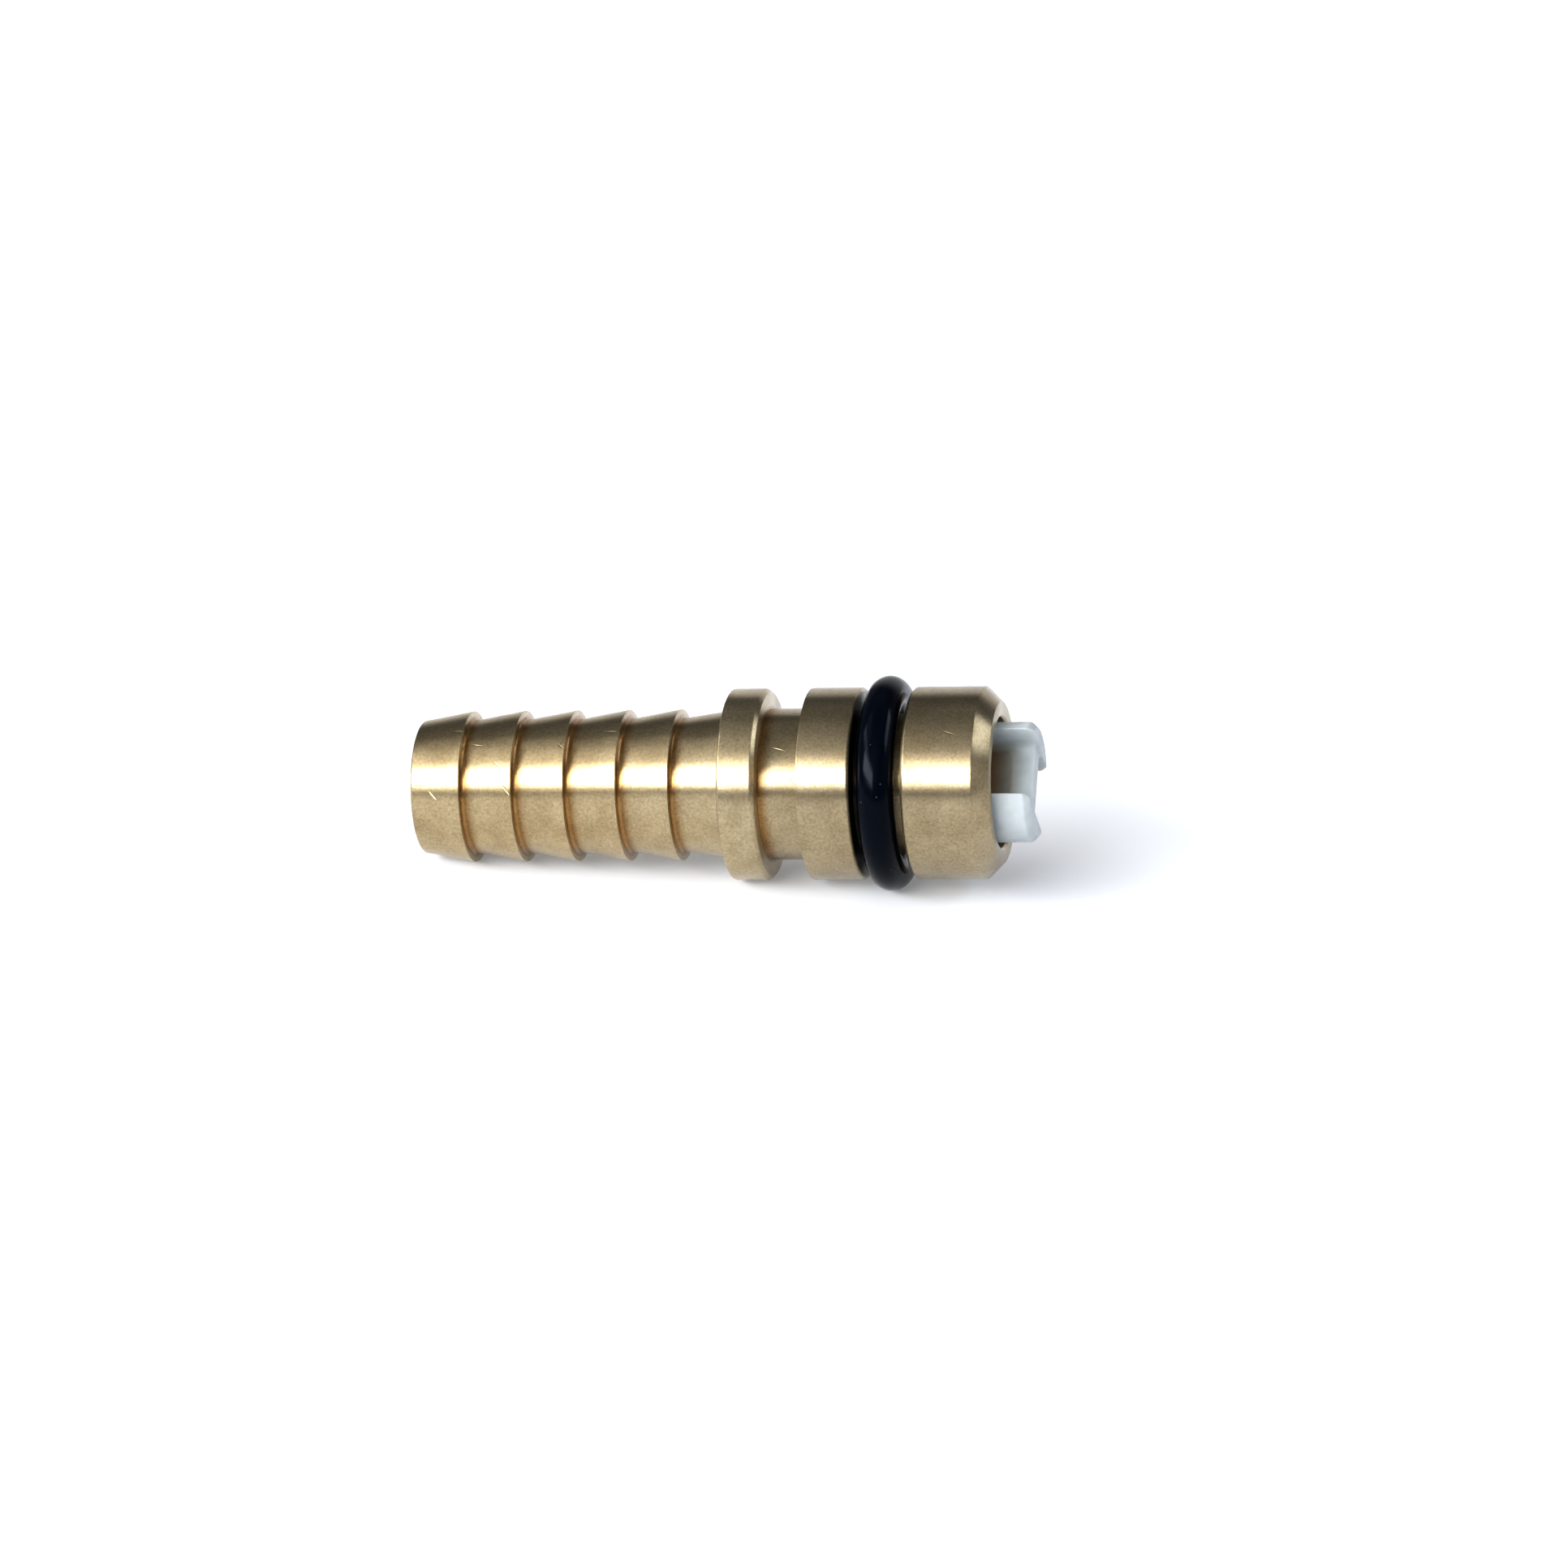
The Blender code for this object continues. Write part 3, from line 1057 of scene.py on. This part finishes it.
@dataclass
class NoseRing:
    """The O-ring in the gland of the nose, with the faint flash line of its mould."""

    pose: RestingPose
    centre: float = 33.10
    section: float = 2.58
    inner_radius: float = 4.855
    flash: float = 0.030
    flash_degrees: float = 45.0
    near_flash: float = 0.02
    around: int = 160
    across: int = 40
    smooth_angle: float = 60.0

    def build(self, finish: MouldedRubber) -> None:
        """Mould the ring and dress it.

        Args:
            finish: Finish of the rubber.
        """
        deselect_all()
        major = self.inner_radius + self.section / 2
        bpy.ops.mesh.primitive_torus_add(
            major_radius=major * MM,
            minor_radius=self.section / 2 * MM,
            major_segments=self.around,
            minor_segments=self.across,
            location=(self.centre * MM, 0.0, 0.0),
            rotation=(0.0, math.pi / 2, 0.0),
        )
        item = take_new("moulded_o_ring")
        self.raise_flash(item)
        shade(item, self.smooth_angle, finish.material())
        self.pose.lay_down(item, Body.FITTING, "nose_o_ring")

    def raise_flash(self, item: Item) -> None:
        """Raise the thin line where the two halves of the mould met.

        Args:
            item: The ring.
        """
        half = self.section / 2
        major = self.inner_radius + half
        lean = math.sin(math.radians(self.flash_degrees))

        def on_line(vertex: bmesh.types.BMVert) -> bool:
            """Whether the vertex is on the line, behind the middle of the ring."""
            spread = (math.hypot(vertex.co.y, vertex.co.z) / MM - major) / half
            return vertex.co.x / MM < self.centre and abs(spread - lean) < self.near_flash

        select_parts(item, "VERT", on_line)
        ratio = 1.0 + self.flash / (major + half * lean)
        bpy.ops.transform.resize(
            value=(1.0, ratio, ratio), center_override=(self.centre * MM, 0.0, 0.0)
        )
        bpy.ops.object.mode_set(mode="OBJECT")


@dataclass
class ValveCrown:
    """The white crown with its two prongs, bridge, pocketed web and stem."""

    pose: RestingPose
    radius: float = 4.15
    front: float = 43.40
    length: float = 4.70
    chamfer: float = 0.45
    turn_degrees: float = 45.0
    slot_width: float = 4.90
    slot_fillet: float = 0.50
    bridge_thickness: float = 1.50
    bridge_setback: float = 0.22
    bridge_width: float = 0.90
    web_thickness: float = 1.36
    pocket_width: float = 4.20
    pocket_fillet: float = 0.90
    pocket_slope: float = 0.80
    stem_radius: float = 1.50
    stem_root: float = 1.40
    spigot_radius: float = 1.10
    spigot_front: float = 24.60
    bead_front: float = 22.35
    bead_length: float = 0.45
    bead_radius: float = 1.35
    voxel: float = 0.075
    smoothing: float = 0.5
    smoothing_rounds: int = 9
    smooth_angle: float = 80.0
    rounding_segments: int = 8
    along_axis: float = 0.99
    tolerance: float = 0.01
    margin: float = 1.0
    lathe: Lathe = field(default_factory=lambda: Lathe(sides=128))

    def back(self) -> float:
        """Place of the back of the crown."""
        return self.front - self.length

    def blank(self) -> Item:
        """The plain chamfered cylinder that the slots are cut into."""
        outline = [
            (self.back(), self.radius),
            (self.front - self.chamfer, self.radius),
            (self.front, self.radius - self.chamfer),
        ]
        return self.lathe.turn("moulded_valve_crown", outline, Ends.CAPPED)

    def stem(self) -> Item:
        """The stem, from its bead behind the valve head to its root in the crown.

        Returns:
            The stem.
        """
        root = self.back() + self.stem_root
        outline = [
            (self.bead_front - self.bead_length, self.spigot_radius),
            (self.bead_front, self.bead_radius),
            (self.bead_front, self.spigot_radius),
            (self.spigot_front, self.spigot_radius),
            (self.spigot_front, self.stem_radius),
            (root - self.stem_radius / 2, self.stem_radius),
            (root, self.stem_radius / 2),
        ]
        return self.lathe.turn("stem", outline, Ends.CAPPED)

    def block(self, low: Point, high: Point) -> Item:
        """A cutter block between two corners, in millimetres.

        Args:
            low: Lowest corner.
            high: Highest corner.

        Returns:
            The block.
        """
        deselect_all()
        centre = [(a + b) / 2 * MM for a, b in zip(low, high)]
        size = [(b - a) * MM for a, b in zip(low, high)]
        bpy.ops.mesh.primitive_cube_add(size=1.0, location=centre, scale=size)
        return take_new("cutter")

    def round_along(self, item: Item, axis: int, near: float, width: float) -> None:
        """Round the block's edges that run along one axis at one end of the block.

        Args:
            item: Block to round.
            axis: Number of the axis that the edges run along.
            near: Only edges whose first other coordinate is here are rounded.
            width: Radius of the rounding, in millimetres.
        """
        other = 1 if axis == 0 else 0

        def at_end(edge: bmesh.types.BMEdge) -> bool:
            """Say whether an edge of the block is rounded.

            Args:
                edge: The edge.

            Returns:
                True if it runs along the axis, at that end.
            """
            a, b = edge.verts[0].co, edge.verts[1].co
            runs = abs((a - b).normalized()[axis]) > self.along_axis
            return runs and abs((a[other] + b[other]) / 2 / MM - near) < self.tolerance

        select_parts(item, "EDGE", at_end)
        bpy.ops.mesh.bevel(
            offset=width * MM, segments=self.rounding_segments, affect="EDGES"
        )
        bpy.ops.object.mode_set(mode="OBJECT")

    def slope_end(self, item: Item, level: float, end: float) -> None:
        """Slope the front end of a pocket's cutter, so that its floor runs out softly.

        Args:
            item: Cutter to slope.
            level: Where its floor is, across the crown.
            end: Where its front end is.
        """
        start = end - self.pocket_fillet - self.tolerance

        def on_floor(vertex: bmesh.types.BMVert) -> bool:
            """Whether the vertex is on the floor, at its front end."""
            return vertex.co.x / MM > start and abs(vertex.co.y / MM - level) < self.tolerance

        select_parts(item, "VERT", on_floor)
        bpy.ops.transform.translate(value=(-self.pocket_slope * MM, 0.0, 0.0))
        bpy.ops.object.mode_set(mode="OBJECT")

    def channel(self, side: Side) -> Item:
        """Cutter of the open side between the prongs.

        Args:
            side: Which side of the crown it opens.

        Returns:
            The cutter.
        """
        half = self.slot_width / 2
        near = side.value * self.bridge_thickness / 2
        far = side.value * (self.radius + self.margin)
        low = (self.back() - self.margin, min(near, far), -half)
        high = (self.front + self.margin, max(near, far), half)
        item = self.block(low, high)
        self.round_along(item, 0, near, self.slot_fillet)
        return item

    def pocket(self, side: Side) -> Item:
        """Cutter of the pocket that thins the web behind the bridge.

        Args:
            side: Which side of the crown it is in.

        Returns:
            The cutter.
        """
        half = self.pocket_width / 2
        near = side.value * self.web_thickness / 2
        far = side.value * (self.bridge_thickness / 2 + self.slot_fillet)
        end = self.front - self.bridge_setback - self.bridge_width
        low = (self.back() - self.margin, min(near, far), -half)
        high = (end, max(near, far), half)
        item = self.block(low, high)
        self.round_along(item, 1, end, self.pocket_fillet)
        self.slope_end(item, near, end)
        return item

    def setback(self) -> Item:
        """Cutter that takes the bridge back behind the ends of the prongs.

        Returns:
            The cutter.
        """
        half = self.slot_width / 2
        reach = self.radius + self.margin
        start = self.front - self.bridge_setback
        return self.block((start, -reach, -half), (start + self.margin, reach, half))

    def cut(self, item: Item, cutter: Item) -> None:
        """Cut one shape out of the crown and throw the cutter away.

        Args:
            item: The crown.
            cutter: The shape.
        """
        boolean = item.modifiers.new("cut", "BOOLEAN")
        boolean.operation = "DIFFERENCE"
        boolean.solver = "EXACT"
        boolean.object = cutter
        apply_modifiers(item)
        bpy.data.objects.remove(cutter, do_unlink=True)

    def soften(self, item: Item) -> None:
        """Give every edge the small radius that a moulded piece has.

        Args:
            item: The crown.
        """
        remesh = item.modifiers.new("skin", "REMESH")
        remesh.mode = "VOXEL"
        remesh.voxel_size = self.voxel * MM
        smooth = item.modifiers.new("radius", "SMOOTH")
        smooth.factor = self.smoothing
        smooth.iterations = self.smoothing_rounds
        apply_modifiers(item)

    def build(self, finish: MouldedAcetal) -> None:
        """Mould the crown and dress it.

        Args:
            finish: Finish of the plastic.
        """
        item = self.blank()
        for side in Side:
            self.cut(item, self.channel(side))
            self.cut(item, self.pocket(side))
        self.cut(item, self.setback())
        stem = self.stem()
        make_active(item)
        stem.select_set(True)
        bpy.ops.object.join()
        self.soften(item)
        item.data.transform(Matrix.Rotation(-math.radians(self.turn_degrees), 4, "X"))
        shade(item, self.smooth_angle, finish.material())
        self.pose.lay_down(item, Body.VALVE, "valve_crown")


@dataclass
class ValveHead:
    """The disc behind the seat, snapped on the stem."""

    pose: RestingPose
    front: float = 24.60
    thickness: float = 2.20
    radius: float = 2.95
    back_radius: float = 2.00
    taper: float = 1.00
    hole: float = 1.15
    edge_rounding: float = 0.15
    smooth_angle: float = 40.0
    lathe: Lathe = field(default_factory=lambda: Lathe(sides=96))

    def build(self, finish: MouldedAcetal) -> None:
        """Turn the disc and dress it.

        Args:
            finish: Finish of the plastic.
        """
        back = self.front - self.thickness
        outline = [
            (back, self.back_radius),
            (back + self.taper, self.radius),
            (self.front, self.radius),
            (self.front, self.hole),
            (back, self.hole),
        ]
        item = self.lathe.turn("moulded_valve_head", outline, Ends.CLOSED)
        break_edges(item, self.edge_rounding, 3)
        shade(item, self.smooth_angle, finish.material())
        self.pose.lay_down(item, Body.VALVE, "valve_head")


@dataclass
class ValveSeal:
    """The flat rubber ring between the valve head and its seat."""

    pose: RestingPose
    front: float = 25.55
    thickness: float = 0.90
    radius: float = 2.95
    hole: float = 1.55
    edge_rounding: float = 0.12
    smooth_angle: float = 40.0
    lathe: Lathe = field(default_factory=lambda: Lathe(sides=96))

    def build(self, finish: MouldedRubber) -> None:
        """Mould the seal and dress it.

        Args:
            finish: Finish of the rubber.
        """
        back = self.front - self.thickness
        outline = [
            (back, self.radius),
            (self.front, self.radius),
            (self.front, self.hole),
            (back, self.hole),
        ]
        item = self.lathe.turn("moulded_valve_seal", outline, Ends.CLOSED)
        break_edges(item, self.edge_rounding, 3)
        shade(item, self.smooth_angle, finish.material())
        self.pose.lay_down(item, Body.VALVE, "valve_seal")


@dataclass
class ReturnSpring:
    """The wire spring between the seat wall and the crown, closed by a turn at each end."""

    pose: RestingPose
    start: float = 27.25
    end: float = 38.65
    wire: float = 0.30
    radius: float = 2.60
    open_turns: int = 6
    end_pitch: float = 0.66
    steps: int = 28
    wire_sides: int = 16
    smooth_angle: float = 50.0
    travel: float = 2.0

    def turns(self) -> int:
        """All turns, with the closed one at each end."""
        return self.open_turns + 2

    def place(self, turn: float) -> float:
        """Place of the wire's centre after some turns.

        Args:
            turn: Turns from the seat wall.

        Returns:
            Place along the axis, in millimetres.
        """
        low = self.start + self.wire
        high = self.end - self.wire
        pitch = (high - low - 2 * self.end_pitch) / self.open_turns
        closed = min(turn, 1.0) + max(turn - self.turns() + 1, 0.0)
        return low + closed * self.end_pitch + (turn - closed) * pitch

    def build(self, finish: DrawnSteel) -> None:
        """Wind the spring and dress it.

        Args:
            finish: Finish of the wire.
        """
        deselect_all()
        bpy.ops.mesh.primitive_circle_add(
            vertices=self.wire_sides,
            radius=self.wire * MM,
            fill_type="NGON",
            location=(self.place(0.0) * MM, 0.0, self.radius * MM),
            rotation=(math.pi / 2, 0.0, 0.0),
        )
        item = take_new("wound_return_spring")
        bpy.ops.object.mode_set(mode="EDIT")
        bpy.ops.mesh.select_all(action="SELECT")
        for step in range(self.turns() * self.steps):
            self.wind(step / self.steps, (step + 1) / self.steps)
        bpy.ops.object.mode_set(mode="OBJECT")
        outward(item)
        shade(item, self.smooth_angle, finish.material())
        self.pose.lay_down(item, Body.FITTING, "return_spring")
        tuple(self.pose.axis())
        tuple(self.pose.point(self.start))
        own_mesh(item)

    def wind(self, turn: float, new_turn: float) -> None:
        """Extrude the end of the wire a little further round.

        Args:
            turn: Turns so far.
            new_turn: Turns after this step.
        """
        move = (self.place(new_turn) - self.place(turn)) * MM
        bpy.ops.mesh.extrude_region_move(TRANSFORM_OT_translate={"value": (move, 0.0, 0.0)})
        bpy.ops.transform.rotate(
            value=math.tau * (new_turn - turn),
            orient_axis="X",
            center_override=(0.0, 0.0, 0.0),
        )


def hang(
    name: str,
    data: bpy.types.ID,
    target: Vector,
    azimuth: float,
    elevation: float,
    distance: float,
) -> Item:
    """Put a lamp or a camera in its place, aimed at a point.

    Args:
        name: Name of the object.
        data: The lamp or the camera.
        target: Point that it faces.
        azimuth: Degrees, as seen from the point.
        elevation: Degrees, as seen from the point.
        distance: Metres from the point.

    Returns:
        The new object.
    """
    item = bpy.data.objects.new(name, data)
    bpy.context.scene.collection.objects.link(item)
    direction = direction_of(azimuth, elevation)
    item.location = target + direction * distance
    item.rotation_euler = direction.to_track_quat("Z", "Y").to_euler()
    return item


@dataclass(frozen=True)
class Softbox:
    """A soft studio lamp, placed by its direction from the fitting."""

    name: str
    azimuth: float
    elevation: float
    distance: float
    width: float
    height: float
    strength: float
    colour: str = "#ffffff"

    def build(self, target: Vector) -> None:
        """Hang the lamp and aim it at the fitting.

        Args:
            target: Point that it faces.
        """
        lamp = bpy.data.lights.new(self.name, "AREA")
        lamp.shape = "RECTANGLE"
        lamp.size = self.width
        lamp.size_y = self.height
        lamp.energy = self.strength * self.width * self.height * math.pi
        lamp.color = linear(self.colour)[:3]
        hang(self.name, lamp, target, self.azimuth, self.elevation, self.distance)


def towards(tree: Tree, direction: Signal, azimuth: float, elevation: float) -> Signal:
    """How nearly a ray runs in a direction, from -1 to 1."""
    inputs = {0: direction, 1: tuple(direction_of(azimuth, elevation))}
    return add_node(tree, "ShaderNodeVectorMath", {"operation": "DOT_PRODUCT"}, inputs)


@dataclass(frozen=True)
class PaleWall:
    """A part of the room that is paler towards one direction."""

    azimuth: float
    elevation: float
    colours: Stops

    def shine(self, tree: Tree, direction: Signal) -> Signal:
        """Colour of the wall for a ray in a direction."""
        inputs = {"Fac": towards(tree, direction, self.azimuth, self.elevation)}
        return add_node(tree, "ShaderNodeValToRGB", inputs=inputs, stops=self.colours)


@dataclass
class Studio:
    """White table, soft lamps and the camera of the photograph."""

    pose: RestingPose
    aim: float = 25.53
    azimuth: float = 10.77
    elevation: float = 19.19
    distance: float = 0.560
    focal_pixels: float = 9970.0
    sensor_width: float = 36.0
    floor_size: float = 1.6
    floor_colour: str = "#d2d5db"
    # The table glows less right along the fitting than far from it: a painted shadow under and
    # beside the fitting, seen in the brass's reflections too.
    glow_in_painted_shadow: float = 0.20
    far_glow: float = 0.44
    painted_shadow_width: float = 0.016
    half_length: float = 0.018
    room_colours: Stops = (
        (0.0, "#4a4c4e"),
        (0.14, "#505254"),
        (0.32, "#74767a"),
        (0.60, "#484a4c"),
        (0.88, "#8c8e92"),
        (1.0, "#6c6e72"),
    )
    pale_walls: tuple[PaleWall, ...] = (
        PaleWall(
            0.0,
            38.0,
            ((0.60, "#000000"), (0.86, "#5a5b5e"), (0.97, "#c0c2c5"), (1.0, "#d0d2d5")),
        ),
        PaleWall(80.0, 10.0, ((0.80, "#000000"), (0.95, "#8c8e92"), (1.0, "#a2a4a8"))),
    )
    backdrop_azimuth: float = 180.0
    backdrop_elevation: float = 8.0
    backdrop_fade: tuple[float, float] = (0.86, 0.99)
    lamps: tuple[Softbox, ...] = (
        Softbox("left_softbox", -38.0, 25.0, 1.60, 1.90, 0.52, 19.0),
        Softbox("upper_softbox", -68.0, 37.0, 1.60, 1.70, 0.32, 5.2),
        Softbox("high_softbox", -84.0, 54.0, 1.60, 1.00, 0.50, 0.8),
        Softbox("right_softbox", 108.0, 34.0, 1.60, 0.90, 0.46, 6.0, "#edf5ff"),
    )

    def camera(self, target: Vector) -> None:
        """Stand the camera where the photograph was taken.

        Args:
            target: Point that it faces.
        """
        lens = bpy.data.cameras.new("photo_camera")
        lens.sensor_fit = "HORIZONTAL"
        lens.sensor_width = self.sensor_width
        lens.lens = self.focal_pixels * self.sensor_width / PHOTO_PIXELS
        lens.clip_start = 0.01
        lens.clip_end = 10.0
        place = (self.azimuth, self.elevation, self.distance)
        bpy.context.scene.camera = hang("photo_camera", lens, target, *place)

    def floor(self) -> None:
        """Lay the white table, which glows a little where the camera sees it, less near the
        fitting, so that a shadow is painted along it.
        """
        deselect_all()
        bpy.ops.mesh.primitive_plane_add(size=self.floor_size, location=(0.0, 0.0, 0.0))
        item = bpy.context.active_object
        item.name = "white_table"
        material = bpy.data.materials.new("white_paper")
        material.use_nodes = True
        tree = material.node_tree
        tree.nodes.clear()
        colour = linear(self.floor_colour)
        paper = add_node(tree, "ShaderNodeBsdfDiffuse", inputs={"Color": colour})
        # Less glow near the fitting: a painted shadow along it.
        inputs = {
            "Value": self.clearance(tree),
            "From Min": 0.0,
            "From Max": self.painted_shadow_width,
            "To Min": self.glow_in_painted_shadow,
            "To Max": self.far_glow,
        }
        settings = {"interpolation_type": "SMOOTHSTEP"}
        spread = add_node(tree, "ShaderNodeMapRange", settings, inputs)
        inputs = {0: self.seen(tree, add_node(tree, "ShaderNodeLightPath")), 1: spread}
        strength = add_node(tree, "ShaderNodeMath", {"operation": "MULTIPLY"}, inputs)
        light = add_node(tree, "ShaderNodeEmission", inputs={"Color": WHITE, "Strength": strength})
        both = add_node(tree, "ShaderNodeAddShader", inputs={0: paper, 1: light})
        add_node(tree, "ShaderNodeOutputMaterial", inputs={"Surface": both})
        item.data.materials.append(material)

    def clearance(self, tree: Tree) -> Signal:
        """Distance on the table from the line that the fitting lies along.

        Args:
            tree: Node tree of the table's material.

        Returns:
            Distance in metres.
        """
        coordinates = add_node(tree, "ShaderNodeTexCoord")
        inputs = {"Vector": coordinates.outputs["Object"]}
        split = add_node(tree, "ShaderNodeSeparateXYZ", inputs=inputs)
        beyond: Signal = split.outputs["X"]
        for operation, values in (
            ("ABSOLUTE", {}),
            ("SUBTRACT", {1: self.half_length}),
            ("MAXIMUM", {1: 0.0}),
        ):
            inputs = {0: beyond} | values
            beyond = add_node(tree, "ShaderNodeMath", {"operation": operation}, inputs)
        inputs = {"X": beyond, "Y": split.outputs["Y"]}
        flat = add_node(tree, "ShaderNodeCombineXYZ", inputs=inputs)
        return add_node(tree, "ShaderNodeVectorMath", {"operation": "LENGTH"}, {0: flat})

    def seen(self, tree: Tree, path: bpy.types.Node) -> Signal:
        """Mark the rays that look at the background.

        Args:
            tree: Node tree of the table or the world.
            path: Its Light Path node.

        Returns:
            1 for camera, glossy and transmission rays, 0 for all others.
        """
        found: Signal = path.outputs["Is Camera Ray"]
        for ray in ("Is Glossy Ray", "Is Transmission Ray"):
            inputs = {0: found, 1: path.outputs[ray]}
            found = add_node(tree, "ShaderNodeMath", {"operation": "MAXIMUM"}, inputs)
        return found

    def world(self) -> None:
        """White backdrop, and a dim studio room elsewhere."""
        world = bpy.data.worlds.new("studio")
        bpy.context.scene.world = world
        world.use_nodes = True
        tree = world.node_tree
        tree.nodes.clear()
        direction = add_node(tree, "ShaderNodeTexCoord").outputs["Generated"]
        split = add_node(tree, "ShaderNodeSeparateXYZ", inputs={"Vector": direction})
        inputs = {"Fac": split.outputs["Z"]}
        room = add_node(tree, "ShaderNodeValToRGB", inputs=inputs, stops=self.room_colours)
        for wall in self.pale_walls:
            inputs = {FACTOR: 1.0, BELOW: room, ABOVE: wall.shine(tree, direction)}
            settings = {"data_type": "RGBA", "blend_type": "ADD"}
            room = add_node(tree, "ShaderNodeMix", settings, inputs)
        dim, white = (
            add_node(tree, "ShaderNodeBackground", inputs={"Color": colour, "Strength": 1.0})
            for colour in (room, WHITE)
        )
        inputs = {0: self.backdrop(tree, direction), 1: dim, 2: white}
        mix = add_node(tree, "ShaderNodeMixShader", inputs=inputs)
        add_node(tree, "ShaderNodeOutputWorld", inputs={"Surface": mix})

    def backdrop(self, tree: Tree, direction: Signal) -> Signal:
        """White backdrop: all round to the camera, and behind the fitting in reflections.

        Args:
            tree: Node tree of the world.
            direction: Direction of the ray.

        Returns:
            1 where the backdrop is seen, 0 elsewhere.
        """
        path = add_node(tree, "ShaderNodeLightPath")
        inputs = {
            "Value": towards(tree, direction, self.backdrop_azimuth, self.backdrop_elevation),
            "From Min": self.backdrop_fade[0],
            "From Max": self.backdrop_fade[1],
        }
        settings = {"interpolation_type": "SMOOTHSTEP"}
        behind = add_node(tree, "ShaderNodeMapRange", settings, inputs)
        inputs = {0: self.seen(tree, path), 1: behind}
        reflected = add_node(tree, "ShaderNodeMath", {"operation": "MULTIPLY"}, inputs)
        inputs = {0: path.outputs["Is Camera Ray"], 1: reflected}
        return add_node(tree, "ShaderNodeMath", {"operation": "MAXIMUM"}, inputs)

    def build(self) -> None:
        """Set the whole studio up."""
        target = self.pose.point(self.aim)
        self.camera(target)
        self.floor()
        self.world()
        for lamp in self.lamps:
            lamp.build(target)
        bpy.context.scene.view_settings.view_transform = "Standard"


def main() -> None:
    """Build every piece in order."""
    logging.basicConfig(level=logging.INFO)
    pose = RestingPose()
    # Painted shade and brown painted reflection of the brass bore on the crown, darkest at the
    # mouth of the bore and fading towards its front and out from the axis.
    painted_bore_shade = (
        DirtAndShadeTint(30.0, 42.7, 3.1, 1.0, 1.3, 1.1, "#e9e0d0", 1.0),
        DirtAndShadeTint(30.0, 41.9, 3.0, 1.0, 1.7, 1.2, "#bb8840", 0.90),
    )
    white = MouldedAcetal(pose, dirt_and_shade_tints=painted_bore_shade)
    grey_colours = ((0.35, "#7c8082"), (0.65, "#8d9193"))
    grey = MouldedAcetal(pose, "moulded_grey_acetal", grey_colours, 0.40, 0.1)
    rubber = MouldedRubber(pose)
    TurnedBody(pose).build(TurnedBrass(pose))
    NoseRing(pose).build(rubber)
    ValveCrown(pose).build(white)
    ValveHead(pose).build(grey)
    ValveSeal(pose).build(rubber)
    ReturnSpring(pose).build(DrawnSteel(pose))
    Studio(pose).build()


if __name__ == "__main__":
    main()
